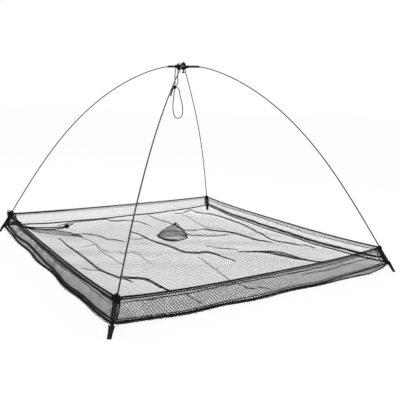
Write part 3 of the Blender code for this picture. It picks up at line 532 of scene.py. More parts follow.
class Nodes:
    """Adds shader nodes to one tree and links them."""

    def __init__(self, tree: bpy.types.NodeTree) -> None:
        """Works in one node tree."""
        self.tree = tree

    def feed(self, node: bpy.types.Node, inputs: dict) -> bpy.types.Node:
        """Gives each named or numbered input of a node the output that feeds it, or its own value."""
        for name, value in inputs.items():
            if isinstance(value, bpy.types.NodeSocket):
                self.tree.links.new(value, node.inputs[name])
            else:
                node.inputs[name].default_value = value
        return node

    def add(self, kind: str, inputs: Optional[dict] = None, **settings: Any) -> bpy.types.Node:
        """Adds a node.

        Args:
            kind: the node's type, without its ShaderNode prefix.
            inputs: what its inputs are fed with.
            settings: the node's other properties.
        Returns:
            The node.
        """
        node = self.tree.nodes.new("ShaderNode" + kind)
        for name, value in settings.items():
            setattr(node, name, value)
        return self.feed(node, inputs or {})

    def maths(self, operation: str, a: Any, b: Any = 0.0) -> bpy.types.NodeSocket:
        """One sum on two values, clamped from nought to one."""
        return self.add("Math", {0: a, 1: b}, operation=operation, use_clamp=True).outputs[0]

    def noise(self, where: Any, scale: Any, detail: float, roughness: float = 0.5) -> bpy.types.NodeSocket:
        """The value of a noise."""
        return self.add("TexNoise", {"Vector": where, "Scale": scale, "Detail": detail,
                                     "Roughness": roughness}).outputs["Fac"]

    def ramp(self, value: Any, low: float, high: float, start: float = 0.0,
             end: float = 1.0) -> bpy.types.NodeSocket:
        """A value brought from the range low to high into the range start to end."""
        return self.add("MapRange", {"Value": value, "From Min": low, "From Max": high,
                                     "To Min": start, "To Max": end}).outputs[0]

    def blend(self, share: Any, a: Any, b: Any) -> bpy.types.NodeSocket:
        """A colour between two others."""
        a, b = (value if isinstance(value, bpy.types.NodeSocket) else (*value, 1.0) for value in (a, b))
        return self.add("Mix", {MIX_A: a, MIX_B: b, 0: share}, data_type="RGBA").outputs[MIX_RESULT]

    def seen(self) -> bpy.types.NodeSocket:
        """One for what the camera sees, also in a mirror or through glass, and nought for other light."""
        rays = self.add("LightPath").outputs
        direct = self.maths("MAXIMUM", rays["Is Camera Ray"], rays["Is Glossy Ray"])
        return self.maths("MAXIMUM", direct, rays["Is Transmission Ray"])


def new_material(name: str) -> tuple[bpy.types.Material, Nodes, bpy.types.Node]:
    """A new material, the helper for its nodes, and its shader."""
    made = bpy.data.materials.new(name)
    made.use_nodes = True
    return made, Nodes(made.node_tree), made.node_tree.nodes["Principled BSDF"]


@dataclass(frozen=True)
class Effect:
    """A shared shader effect, which is kept as a node group.

    Args:
        name: the group's name.
        inputs: (name, kind, value) of each input.
        outputs: the name of each output, a plain value.
        fill: adds the nodes, given the helper and the group's inputs, and returns what its outputs give.
    """

    name: str
    inputs: tuple[tuple[str, str, Optional[float]], ...]
    outputs: tuple[str, ...]
    fill: Callable[[Nodes, Any], Sequence]

    def tree(self) -> bpy.types.NodeTree:
        """The effect's group, made once."""
        if self.name in bpy.data.node_groups:
            return bpy.data.node_groups[self.name]
        tree = bpy.data.node_groups.new(self.name, "ShaderNodeTree")
        for label, kind, value in self.inputs:
            socket = tree.interface.new_socket(label, in_out="INPUT", socket_type="NodeSocket" + kind)
            if value is not None:
                socket.default_value = value
        for label in self.outputs:
            tree.interface.new_socket(label, in_out="OUTPUT", socket_type="NodeSocketFloat")
        nodes = Nodes(tree)
        given = self.fill(nodes, tree.nodes.new("NodeGroupInput").outputs)
        nodes.feed(tree.nodes.new("NodeGroupOutput"), dict(zip(self.outputs, given)))
        return tree


def filaments(nodes: Nodes, given: Any) -> Sequence:
    """Fine filaments, with slow changes of shade along a cord: their shade and their height."""
    fine = nodes.noise(given["Vector"], given["Scale"], 4.0, 0.65)
    slow = nodes.noise(given["Vector"], 38.0, 2.0)
    mixed = nodes.add("Math", {0: nodes.ramp(fine, 0.32, 0.68), 1: 0.6}, operation="MULTIPLY").outputs[0]
    shade = nodes.add("Math", {0: nodes.ramp(slow, 0.35, 0.65), 1: 0.4, 2: mixed}, operation="MULTIPLY_ADD")
    return shade.outputs[0], fine


def dust(nodes: Nodes, given: Any) -> Sequence:
    """Where pale dust and dried mud lie: more of it on what faces up, and in patches."""
    facing = nodes.add("SeparateXYZ", {0: given["Normal"]}).outputs["Z"]
    patch = nodes.noise(given["Vector"], given["Scale"], 5.0, 0.7)
    lying = nodes.maths("MULTIPLY", nodes.ramp(facing, -0.4, 1.0), nodes.ramp(patch, 0.45, 0.75))
    return [nodes.maths("MULTIPLY", lying, given["Amount"])]


def wear(nodes: Nodes, given: Any) -> Sequence:
    """Rubbed edges and fine scratches on metal: where its coat is gone, and its height."""
    grain = nodes.noise(given["Vector"], 420.0, 6.0)
    coarse = nodes.add("TexVoronoi", {"Vector": given["Vector"], "Scale": 160.0}).outputs["Distance"]
    parts = ((grain, 0.58, 0.72, 0.5), (coarse, 0.16, 0.05, 0.35), (given["Pointiness"], 0.505, 0.56, 0.8))
    rub, spots, edge = (nodes.maths("MULTIPLY", nodes.ramp(value, low, high), share)
                        for value, low, high, share in parts)
    loss = nodes.maths("MAXIMUM", nodes.maths("MAXIMUM", rub, spots), edge)
    return nodes.maths("MULTIPLY", loss, given["Amount"]), grain


def weave(nodes: Nodes, given: Any) -> Sequence:
    """The height of flat tape, woven of ribs one way and finer picks the other."""
    where = given["Vector"]
    turned = nodes.add("VectorRotate", {"Vector": where, "Angle": math.pi / 2}, rotation_type="Z_AXIS")
    ribs, picks = (nodes.add("TexWave", {"Scale": given["Scale"], "Distortion": 1.2, **more},
                             bands_direction="DIAGONAL").outputs["Fac"]
                   for more in ({"Vector": where, "Detail Scale": 3.0}, {"Vector": turned.outputs[0]}))
    return [nodes.maths("MULTIPLY", ribs, picks)]


VECTOR = ("Vector", "Vector", None)
FILAMENTS = Effect("filaments", (VECTOR, ("Scale", "Float", 900.0)), ("Shade", "Height"), filaments)
DUST = Effect("dust and mud", (VECTOR, ("Normal", "Vector", None), ("Scale", "Float", 12.0),
                               ("Amount", "Float", 0.3)), ("Mask",), dust)
WEAR = Effect("rubbed metal", (VECTOR, ("Pointiness", "Float", 0.5), ("Amount", "Float", 1.0)),
              ("Mask", "Height"), wear)
WEAVE = Effect("woven tape", (VECTOR, ("Scale", "Float", 300.0)), ("Height",), weave)


@dataclass(frozen=True)
class Finish:
    """A finish: the name of its slot, two shades of its colour, and its gloss."""

    name: str
    slot: str
    dark: tuple[float, float, float]
    light: tuple[float, float, float]
    roughness: float
    dust_amount: float = 0.25
    dust_colour: tuple[float, float, float] = (0.30, 0.29, 0.27)
    dust_roughness: float = 0.95
    bump: float = 0.0004
    specular: float = 0.12

    def material(self) -> bpy.types.Material:
        """The finish as a material, made once."""
        if self.name in bpy.data.materials:
            return bpy.data.materials[self.name]
        made, nodes, shader = new_material(self.name)
        where = nodes.add("TexCoord").outputs
        colour, height = self.surface(nodes, where["Object"], shader)
        mask = nodes.add("Group", {"Vector": where["Object"], "Normal": where["Normal"],
                                   "Amount": self.dust_amount}, node_tree=DUST.tree()).outputs["Mask"]
        bump = nodes.add("Bump", {"Height": height, "Distance": self.bump, "Strength": 0.6})
        nodes.feed(shader, {"Base Color": nodes.blend(mask, colour, self.dust_colour),
                            "Roughness": nodes.ramp(mask, 0.0, 1.0, self.roughness, self.dust_roughness),
                            "Specular IOR Level": self.specular, "Normal": bump.outputs[0]})
        return made

    def surface(self, nodes: Nodes, where: Any, shader: Any) -> tuple[Any, Any]:
        """The finish's colour and height, before any dust."""
        raise NotImplementedError


@dataclass(frozen=True)
class CordFinish(Finish):
    """Laid or braided cord, or netting twine: matt filaments with a faint sheen."""

    scale: float = 900.0
    sheen: float = 0.03
    effect: Effect = FILAMENTS
    shade: str = "Shade"

    def surface(self, nodes: Nodes, where: Any, shader: Any) -> tuple[Any, Any]:
        """The effect in two shades."""
        inputs = {"Vector": where, "Scale": self.scale}
        made = nodes.add("Group", inputs, node_tree=self.effect.tree()).outputs
        nodes.feed(shader, {"Sheen Weight": self.sheen})
        return nodes.blend(made[self.shade], self.dark, self.light), made["Height"]


@dataclass(frozen=True)
class MetalFinish(Finish):
    """Dark coated metal, rubbed bare on its edges."""

    bare: tuple[float, float, float] = (0.42, 0.42, 0.43)
    worn: float = 0.7
    metallic: float = 0.75

    def surface(self, nodes: Nodes, where: Any, shader: Any) -> tuple[Any, Any]:
        """The coat's two shades, and bare metal where it is rubbed away."""
        edge = nodes.add("NewGeometry").outputs["Pointiness"]
        made = nodes.add("Group", {"Vector": where, "Pointiness": edge, "Amount": self.worn},
                         node_tree=WEAR.tree()).outputs
        nodes.feed(shader, {"Metallic": self.metallic})
        coat = nodes.blend(made["Height"], self.dark, self.light)
        return nodes.blend(made["Mask"], coat, self.bare), made["Height"]


@dataclass(frozen=True)
class TapeFinish(CordFinish):
    """Woven tape, whose raised ribs are paler."""

    scale: float = 260.0
    sheen: float = 0.04
    effect: Effect = WEAVE
    shade: str = "Height"


TUBE = MetalFinish("tube steel", "tube_steel", (0.008, 0.008, 0.009), (0.022, 0.022, 0.023), 0.48, 0.08,
                   specular=0.14, metallic=0.10, worn=0.3)
HARDWARE = MetalFinish("hardware steel", "hardware_steel", (0.007, 0.007, 0.008), (0.020, 0.020, 0.021),
                       0.42, 0.10, specular=0.20, metallic=0.20, worn=0.4)
ROD = MetalFinish("rod steel", "rod", (0.006, 0.006, 0.007), (0.018, 0.018, 0.019), 0.45, 0.06,
                  specular=0.14, metallic=0.05, worn=0.15)
ROPE = CordFinish("side cord", "cord", (0.003, 0.003, 0.003), (0.010, 0.010, 0.010), 0.85, 0.04,
                  specular=0.06)
TWINE = CordFinish("lifting cord", "cord", (0.003, 0.003, 0.003), (0.012, 0.012, 0.012), 0.80, 0.04,
                   specular=0.06, scale=1500.0)
MESH = CordFinish("netting twine", "netting", (0.007, 0.005, 0.006), (0.026, 0.020, 0.022), 0.75, 0.12,
                  scale=700.0)
POCKET_MESH = CordFinish("pocket netting", "netting", (0.012, 0.012, 0.013), (0.045, 0.045, 0.047),
                         0.80, 0.20, scale=1100.0)
TAPE = TapeFinish("woven tape", "tape", (0.004, 0.004, 0.005), (0.022, 0.022, 0.024), 0.78, 0.10)
FOOT = TapeFinish("foot tape", "tape", (0.002, 0.002, 0.003), (0.014, 0.015, 0.016), 0.60, 0.08,
                  specular=0.14)


@dataclass(frozen=True)
class Crease:
    """A gathered crease in the floor netting: its line on the ground, how strong it is, and its sizes."""

    route: tuple[tuple[float, float], ...]
    strength: float = 1.0
    width: float = 0.012
    height: float = 0.004
    bundle: float = 0.0034
    rise: float = 0.0066


FLOOR_PIECES = (["net_floor_" + side.label for side in SIDES]
                + ["net_corner_" + corner.label for corner in Corner])
CREASES = (
    Crease(((-0.311, 0.471), (-0.250, 0.485), (-0.182, 0.492), (-0.135, 0.490), (-0.073, 0.488),
            (-0.064, 0.466), (-0.044, 0.445), (-0.002, 0.447), (0.030, 0.428), (0.057, 0.391),
            (0.079, 0.337)), 0.8),
    Crease(((-0.305, 0.364), (-0.282, 0.287), (-0.270, 0.210), (-0.269, 0.154), (-0.285, 0.070),
            (-0.283, -0.003), (-0.280, -0.061), (-0.275, -0.091)), 0.35),
    Crease(((-0.291, 0.343), (-0.247, 0.320), (-0.224, 0.289), (-0.205, 0.252), (-0.196, 0.204),
            (-0.169, 0.187), (-0.144, 0.148)), 0.7),
    Crease(((-0.365, 0.302), (-0.367, 0.192), (-0.370, 0.080), (-0.370, -0.013), (-0.372, -0.086),
            (-0.365, -0.144), (-0.355, -0.182), (-0.347, -0.209), (-0.333, -0.229), (-0.325, -0.259)), 1.1),
    Crease(((-0.339, -0.184), (-0.322, -0.220), (-0.297, -0.240), (-0.279, -0.271), (-0.273, -0.309),
            (-0.266, -0.338), (-0.255, -0.360)), 1.4),
    Crease(((-0.417, -0.067), (-0.390, -0.104), (-0.366, -0.129), (-0.354, -0.149)), 0.4),
    Crease(((-0.059, 0.287), (-0.051, 0.220), (-0.049, 0.164), (-0.043, 0.110), (-0.041, 0.052),
            (-0.029, 0.006), (-0.020, -0.037), (-0.006, -0.082), (0.022, -0.106), (0.056, -0.108),
            (0.073, -0.134), (0.079, -0.174), (0.088, -0.208), (0.093, -0.234)), 1.2),
    Crease(((-0.111, 0.195), (-0.097, 0.160), (-0.053, 0.158)), 0.4),
    Crease(((0.150, 0.495), (0.163, 0.416), (0.169, 0.355), (0.170, 0.288), (0.166, 0.225), (0.179, 0.191),
            (0.223, 0.178), (0.268, 0.180), (0.286, 0.146)), 0.7),
    Crease(((0.292, 0.485), (0.326, 0.464), (0.391, 0.486), (0.403, 0.452), (0.438, 0.407), (0.453, 0.346),
            (0.460, 0.279), (0.459, 0.206), (0.450, 0.140), (0.440, 0.070), (0.421, -0.001), (0.410, -0.055),
            (0.416, -0.105), (0.433, -0.143), (0.444, -0.185), (0.468, -0.203), (0.473, -0.249)), 1.0),
    Crease(((0.250, 0.177), (0.292, 0.126), (0.318, 0.090), (0.332, 0.042), (0.338, -0.002), (0.352, -0.047),
            (0.375, -0.080), (0.390, -0.110)), 1.3),
    Crease(((0.320, 0.454), (0.317, 0.389), (0.295, 0.293), (0.281, 0.221), (0.303, 0.176), (0.342, 0.134)),
            0.35),
    Crease(((0.128, 0.145), (0.162, 0.092), (0.205, 0.067), (0.250, 0.058), (0.301, 0.063)), 0.7),
    Crease(((0.109, -0.036), (0.136, -0.076), (0.164, -0.101), (0.192, -0.126)), 0.6),
    Crease(((0.175, -0.146), (0.206, -0.166), (0.248, -0.184), (0.271, -0.214), (0.289, -0.261),
            (0.302, -0.298), (0.322, -0.325), (0.344, -0.351), (0.374, -0.373)), 1.3),
    Crease(((0.250, -0.182), (0.294, -0.204), (0.317, -0.248), (0.323, -0.301), (0.339, -0.333)), 1.1),
    Crease(((0.002, -0.135), (-0.016, -0.220), (-0.030, -0.293), (-0.042, -0.366)), 0.45),
    Crease(((-0.224, 0.046), (-0.223, 0.014), (-0.183, -0.002), (-0.181, -0.045), (-0.185, -0.102),
            (-0.185, -0.130)), 0.35),
    Crease(((-0.319, 0.160), (-0.272, 0.156), (-0.267, 0.101), (-0.261, 0.061)), 0.3))
FOLD = (
    ((-0.440, 0.521), (-0.407, 0.486), (-0.363, 0.462), (-0.317, 0.416), (-0.290, 0.372), (-0.269, 0.303)),
    ((-0.441, 0.501), (-0.422, 0.435), (-0.386, 0.391), (-0.341, 0.350), (-0.311, 0.316), (-0.268, 0.283)))


def stretches(owner: Array) -> list[tuple[int, int]]:
    """The stretches of a line that belong to one piece each, as their first and next numbers."""
    changes = np.flatnonzero(np.diff(owner)) + 1
    return list(zip([0, *changes], [*changes, len(owner)]))


@dataclass
class Netting:
    """The knotted netting of the tray: the floor, the four walls and a loose fringe below the hem."""

    shape: TrayShape
    strand: float = 0.00031          # radius of one strand of the floor, finer where it has worn
    bunched: float = 0.00042         # radius of a strand in a bunch
    knot: tuple[float, float, float] = (0.00058, 0.00058, 0.00048)
    worn: tuple[float, ...] = (1.36, 0.76, 0.35, 0.65)   # its strands' share, and how it falls east and north
    loose: float = 0.0005            # how far a knot strays from its even place
    ripple: float = 0.0011           # half the height of the floor's slow ripples
    drift: float = 0.0035            # how far its lines of meshes wander aside
    pull: float = 0.86               # how much of its width a crease gathers in
    fold_height: tuple[float, float, float] = (0.0085, 0.0030, 0.012)   # own, swell, rise to the tie
    fold_strand: float = 0.00052
    turned_proud: tuple[float, float] = (0.0016, 0.0030)
    fringe_spread: tuple[float, float] = (1.0, 0.55)
    spacing: float = 0.004           # between the points of a bunch's line
    skins: dict[str, Skin] = field(default_factory=dict)

    def skin(self, name: str) -> Skin:
        """The skin of one piece of netting."""
        return self.skins.setdefault(name, Skin())

    def creased(self, points: Array, free: Array) -> Array:
        """The floor with its creases gathered in, where it is free to move."""
        moved = points.copy()
        for crease in CREASES:
            route = on_ground(crease.route, 6)[:, :2]
            far = distances(route)
            best = np.full(len(points), np.inf)
            offset, along = np.zeros((len(points), 2)), np.zeros(len(points))
            for k, (a, b) in enumerate(zip(route, route[1:])):
                way = b - a
                share = np.clip((points[:, :2] - a) @ way / (way @ way), 0, 1)
                away = points[:, :2] - a - share[:, None] * way
                distance = np.linalg.norm(away, axis=1)
                nearer = distance < best
                best[nearer], offset[nearer] = distance[nearer], away[nearer]
                along[nearer] = (far[k] + share[nearer] * (far[k + 1] - far[k])) / far[-1]
            full = np.sin(math.pi * np.clip(along, 0, 1)) ** 0.45 * free * min(1.0, crease.strength)
            moved[:, :2] -= offset * (self.pull * full * np.exp(-(best / crease.width) ** 2 / 2))[:, None]
            moved[:, 2] += crease.height * full * np.exp(-(best / (0.5 * crease.width)) ** 2)
        return moved

    def floor_place(self, u: Array, v: Array) -> Array:
        """The creased floor, with slow ripples that die away at its edges."""
        place = self.shape.floor(u, v)
        inside = np.minimum(np.minimum(u, 1 - u), np.minimum(v, 1 - v))
        free = np.clip(inside * 18, 0, 1)
        x, y = place[:, 0], place[:, 1]
        ripple = np.sin(21 * x + 9 * np.sin(5 * y)) + np.sin(26 * y - 8 * np.sin(6 * x)) + 2
        place[:, 2] += self.ripple * ripple * free
        place[:, 0] += self.drift * np.sin(19 * y + 7 * x) * free
        place[:, 1] += self.drift * np.sin(17 * x - 5 * y) * free
        return self.creased(place, free)

    def weave(self, place: Array, regions: Array, names: Sequence[str], normal: Array, parity: int = 0,
              radius: Optional[Number] = None) -> None:
        """Knots a sheet of diamond netting, strand by strand.

        Args:
            place: the points of its grid of half diamonds, as (column, row, 3).
            regions: for each cell of that grid, the number of the piece that it belongs to.
            names: the pieces' names.
            normal: a direction roughly square to the sheet.
            parity: 0 if the knots are at even places of the grid, 1 if at odd ones.
            radius: the strands' radius, one number or one for each point, or else the floor's.
        """
        radius = np.broadcast_to(self.strand if radius is None else radius, place.shape[:2])
        columns, rows = place.shape[0] - 1, place.shape[1] - 1
        for climb in (1, -1):
            for start in range(-rows, columns + 1) if climb == 1 else range(columns + rows + 1):
                j = np.arange(rows + 1)
                i = start + climb * j
                kept = (i >= 0) & (i <= columns)
                i, j = i[kept], j[kept]
                if (start + parity) % 2 or len(i) < 2:
                    continue
                owner = regions[np.minimum(i[:-1], i[1:]), j[:-1]]
                for a, b in stretches(owner):
                    self.skin(names[owner[a]]).tube(place[i, j][a:b + 1], radius[i, j][a:b + 1], 3, normal)
        i, j = np.meshgrid(np.arange(columns + 1), np.arange(rows + 1), indexing="ij")
        knots = (i + j) % 2 == parity
        owner = regions[np.minimum(i[knots], columns - 1), np.minimum(j[knots], rows - 1)]
        way = unit(place[-1, rows // 2] - place[0, rows // 2])
        axes = np.array((way, np.cross(normal, way), normal))
        for number, name in enumerate(names):
            some = place[knots][owner == number]
            if len(some):
                self.skin(name).beads(some, np.array(self.knot) * radius.mean() / self.strand, axes)

    def scattered(self, place: Array, seed: int, free: Array) -> Array:
        """The grid with each knot strayed a little, but not on the edges that are laced."""
        return place + np.random.default_rng(seed).normal(0, self.loose, place.shape) * free[..., None]

    def floor(self) -> None:
        """The floor, cut along its diagonals and across its corners into separate pieces."""
        count = HALF_STEPS
        i, j = np.meshgrid(np.arange(count + 1), np.arange(count + 1), indexing="ij")
        u, v = i / count, j / count
        place = self.floor_place(u.ravel(), v.ravel()).reshape(count + 1, count + 1, 3)
        free = np.clip(np.minimum(np.minimum(i, count - i), np.minimum(j, count - j)) / 2, 0, 1)
        thick, fall, east, north = self.worn
        middle = (np.arange(count) + 0.5) / count
        regions = self.floor_piece(*np.meshgrid(middle, middle, indexing="ij"))
        self.weave(self.scattered(place, 3, free), regions, FLOOR_PIECES, UP, 0,
                   self.strand * (thick - fall * (east * u + north * v)))
        for number, crease in enumerate(CREASES):
            self.gather(crease, 60 + number)
        self.folded()

    def folded(self) -> None:
        """The netting that the storage tie draws into a flat fold over the floor."""
        far, near = (on_ground(route, 12) for route in FOLD)
        across = (np.arange(15) / 14)[None, :, None]
        place = far[:, None] * (1 - across) + near[:, None] * across
        height, swell, rise = self.fold_height
        place[..., 2] = height + swell * np.sin(math.pi * across[..., 0])
        place[..., 2] += rise * np.exp(-np.arange(len(far)) / 9)[:, None]
        middle = (place[1:, 1:] + place[:-1, :-1]) / 2 + 0.5
        self.weave(self.scattered(place, 81, np.ones(place.shape[:2])),
                   self.floor_piece(middle[..., 0], middle[..., 1]), FLOOR_PIECES, UP, 0, self.fold_strand)
        edge = place[:, -1]
        self.bunch(edge, 0.0020, 0.0020, 7, 82, FLOOR_PIECES,
                   self.floor_piece(edge[:, 0] + 0.5, edge[:, 1] + 0.5))

    @staticmethod
    def floor_piece(u: Array, v: Array) -> Array:
        """The number of the piece that each place on the floor belongs to."""
        x, y = u - 0.5, v - 0.5
        piece = np.where(np.abs(x) > np.abs(y), np.where(x < 0, 0, 2), np.where(y < 0, 1, 3))
        for number, corner in enumerate(Corner):
            du = u if corner.out[0] < 0 else 1 - u
            dv = v if corner.out[1] < 0 else 1 - v
            piece = np.where(du + dv < CUT, 4 + number, piece)
        return piece

    def strip(self, side: Side, place: Array, seed: int, free: Array, normal: Array, parity: int = 0) -> None:
        """A strip of netting along one side, which is cut in three: a middle and its two corners."""
        middle = (side.columns[1:] + side.columns[:-1]) / 2
        regions = np.repeat(self.wall_piece(middle)[:, None], place.shape[1] - 1, axis=1)
        self.weave(self.scattered(place, seed, free), regions, self.wall_names(side), normal, parity,
                   side.strand)

    @staticmethod
    def wall_piece(share: Array) -> Array:
        """The number of the piece that each place along a wall belongs to."""
        return np.where(share < CUT, 1, np.where(share > 1 - CUT, 2, 0))

    @staticmethod
    def wall_names(side: Side) -> list[str]:
        """The pieces of netting that a wall is in."""
        return ["net_wall_" + side.label, "net_corner_" + side.start.label, "net_corner_" + side.end.label]

    def wall(self, side: Side, seed: int) -> None:
        """One wall, its doubled edge under the rim, and the fringe that hangs below its hem."""
        inwards = self.shape.side_line(side, False, np.array((0.5,)))[1]
        out = unit(-inwards + UP * 0.5)
        share, down, free = self.grid(side, side.mesh[1])
        self.strip(side, self.hung(side, share, down), seed, free, out)
        share, down, free = self.grid(side, 3)
        for number, (low, proud) in enumerate(zip(side.turned, self.turned_proud)):
            self.strip(side, self.hung(side, share, low * down, proud), seed + 1 + number, free * 0.5, out,
                       1 - number)
        hem = self.shape.side_line(side, True, share.ravel())[0].reshape(*share.shape, 3)
        i = share * side.mesh[0]
        below = (np.interp(share, *zip(*side.hang)) - 1) * self.shape.hem_distance * down
        for number, spread in enumerate(self.fringe_spread):
            reach = side.fringe * spread * (0.75 + 0.25 * np.sin(i / 31 + seed) * np.sin(i / 13)) * down
            ragged = hem - inwards * (0.4 * self.shape.hem_radius + reach)[..., None]
            ragged[..., 2] -= self.shape.hem_radius + (0.5 - 0.2 * number) * reach + below
            ragged[..., 2] = np.maximum(ragged[..., 2], LOWEST_FRINGE)
            self.strip(side, ragged, seed + 3 + number, np.clip(3 * down, 0, 1) * 0.8, UP, number)
        for number, gathered in enumerate(side.gathers):
            share, down = evenly(on_ground(gathered.route, 12), self.spacing).T[:2]
            line = self.shape.wall(side, share, down, 0.0010)
            full = gathered.width * (0.4 + 0.6 * np.sin(math.pi * np.linspace(0, 1, len(line))) ** 0.4)
            self.bunch(line, full, full, gathered.strands, seed + 5 + number, self.wall_names(side),
                       self.wall_piece(share), out)

    def hung(self, side: Side, share: Array, down: Array, proud: float = 0.0) -> Array:
        """A grid of netting on one wall, at shares along and down it."""
        return self.shape.wall(side, share.ravel(), down.ravel(), proud).reshape(*share.shape, 3)

    @staticmethod
    def grid(side: Side, rows: int) -> tuple[Array, Array, Array]:
        """The shares along and down a strip of netting, and how free each place is to stray."""
        share, j = np.meshgrid(side.columns, np.arange(rows + 1), indexing="ij")
        return share, j / rows, np.clip(np.minimum(j, rows - j) / 2, 0, 1)

    def bunch(self, line: Array, width: Number, height: Number, strands: int, seed: int,
              names: Sequence[str], owner: Array, up: Array = UP) -> None:
        """Strands of netting drawn together along a line.

        Args:
            line: the line along the foot of the bunch.
            width: how far to each side of it the strands stray.
            height: how far above it they reach.
            strands: how many there are.
            seed: what their paths are drawn from.
            names: the pieces' names.
            owner: for each point of the line, the number of the piece that it belongs to.
            up: the way that the bunch stands up.
        """
        draws = np.random.default_rng(seed)
        over, across = frames(line, up)
        far = distances(line)
        for _ in range(strands):
            a, b, c, d = draws.uniform(0, 2 * math.pi, 4)
            pace = draws.uniform(40, 110, 2)
            aside = 0.6 * np.sin(pace[0] * far + a) + 0.4 * np.sin(2.7 * pace[1] * far + b)
            rise = 0.5 + 0.35 * np.sin(pace[1] * far + c) + 0.15 * np.sin(2.3 * pace[0] * far + d)
            path = line + across * (width * aside)[:, None] + over * (height * rise)[:, None]
            path[:, 2] = np.maximum(path[:, 2], LOWEST_STRAND)
            for first, last in stretches(owner):
                if last - first > 1:
                    self.skin(names[owner[first]]).tube(path[first:last + 1], self.bunched, 3, up)

    def gather(self, crease: Crease, seed: int) -> None:
        """The strands that a crease of the floor draws together."""
        line = evenly(on_ground(crease.route, 12), self.spacing)
        u, v = line[:, 0] + 0.5, line[:, 1] + 0.5
        for _ in range(3):
            place = self.shape.floor(u, v)
            u, v = np.clip(u + line[:, 0] - place[:, 0], 0, 1), np.clip(v + line[:, 1] - place[:, 1], 0, 1)
        full = np.sin(math.pi * np.linspace(0, 1, len(line))) ** 0.35
        line[:, 2] = self.floor_place(u, v)[:, 2]
        strong = crease.strength
        self.bunch(line, crease.bundle * (0.8 + 0.6 * strong) * full, crease.rise * full,
                   round(7 * strong + 6 * strong ** 2), seed, FLOOR_PIECES, self.floor_piece(u, v))

    def corner(self, side: Side, corner: Corner, seed: int) -> None:
        """The netting of a wall, bunched down one corner between its lashings."""
        down = np.linspace(0.0, 1.0, 26)
        piece = ["net_corner_" + corner.label], np.zeros(26, int)
        if side.start is corner:
            distance = self.shape.hem_distance * (0.02 + 0.96 * down)
            places, axes = zip(*(self.shape.corner_place(corner, far) for far in distance))
            line = np.array(places) - axes[0][1] * 0.0070 + corner.across * 0.0015
            strands, width = corner.band
            self.bunch(line, width, 0.003, strands, seed + 7, *piece, corner.across)
        for high, low, width, strands in corner.bunches:
            share = (high + (low - high) * down) / self.shape.side
            line = self.shape.wall(side, share if side.start is corner else 1 - share, down, 0.001)
            full = 0.55 + 0.45 * np.sin(math.pi * down)
            self.bunch(line, width * full, 0.004 * full, strands, seed, *piece, corner.out)

    def build(self) -> list[bpy.types.Object]:
        """Makes every piece of the tray's netting."""
        self.floor()
        for number, side in enumerate(SIDES):
            self.wall(side, 10 * number + 20)
            self.corner(side, side.start, 90 + number)
            self.corner(side, side.end, 100 + number)
        made = []
        for side in SIDES:
            for part, name, node in (("floor", "net_floor_", "net_floor"),
                                     ("wall", "net_strands_", "net_wall_" + side.label)):
                piece = self.skins[f"net_{part}_{side.label}"].piece(name + side.label, MESH)
                made.append(swing(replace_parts(piece, node)))
        for corner in Corner:
            name = "net_corner_" + corner.label
            made.append(pull(self.skins[name].piece(name, MESH), corner))
        for piece in made:
            lay_flat_map(piece)
        return made


@dataclass
class SideCords:
    """The rim and hem cords, the lacing that holds the netting to them, and the selvedge under the rim."""

    shape: TrayShape
    steps: int = 800
    sides: int = 12
    lacing: float = 0.00042
    lacing_turns: int = 110
    selvedge: float = 0.00045
    selvedge_down: float = 0.15
    into_lashing: float = 0.006

    def share(self) -> Array:
        """Even shares along a side, with a little more at both ends, which goes into the lashings."""
        share = np.linspace(0, 1, self.steps + 1)
        return np.concatenate([[-self.into_lashing], share[1:-1], [1 + self.into_lashing]])

    def lines(self, side: Side, hem: bool) -> list[tuple[Array, float, int, Lay]]:
        """Every cord of one edge: its line, radius, sides and lay."""
        share = self.share()
        line, _ = self.shape.side_line(side, hem, share)
        radius = self.shape.hem_radius if hem else self.shape.rim_radius
        wound = helix(line, radius + self.lacing * 0.7, self.lacing_turns, UP)
        found = [(line, radius, self.sides, Lay.TWISTED), (wound, self.lacing, 3, Lay.PLAIN)]
        if hem:
            second = helix(line, radius + self.lacing, self.lacing_turns / 2, UP, 2.0)
            return found + [(second, self.lacing, 3, Lay.PLAIN)]
        inner = np.clip(share, 0, 1)
        down = self.selvedge_down + 0.02 * np.sin(40 * inner) + 0.012 * np.sin(97 * inner)
        return found + [(self.shape.wall(side, inner, down, 0.0012), self.selvedge, 4, Lay.PLAIN)]

    def build(self) -> list[bpy.types.Object]:
        """Makes the cords of each side, cut where the corners' share of the side begins."""
        low, high = round(CUT * self.steps), round((1 - CUT) * self.steps)
        corners = {corner: Skin() for corner in Corner}
        made = []
        for side in SIDES:
            for hem, name in ((False, "rim_cord_"), (True, "hem_cord_")):
                skin = Skin()
                for line, radius, sides, lay in self.lines(side, hem):
                    skin.tube(line[low:high + 1], radius, sides, UP, lay)
                    corners[side.start].tube(line[:low + 1], radius, sides, UP, lay)
                    corners[side.end].tube(line[high:], radius, sides, UP, lay)
                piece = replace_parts(skin.piece(name + "rope_" + side.label, ROPE), name + side.label)
                made.append(swing(piece))
        for corner, skin in corners.items():
            made.append(pull(skin.piece("corner_cords_" + corner.label, ROPE), corner))
        return made


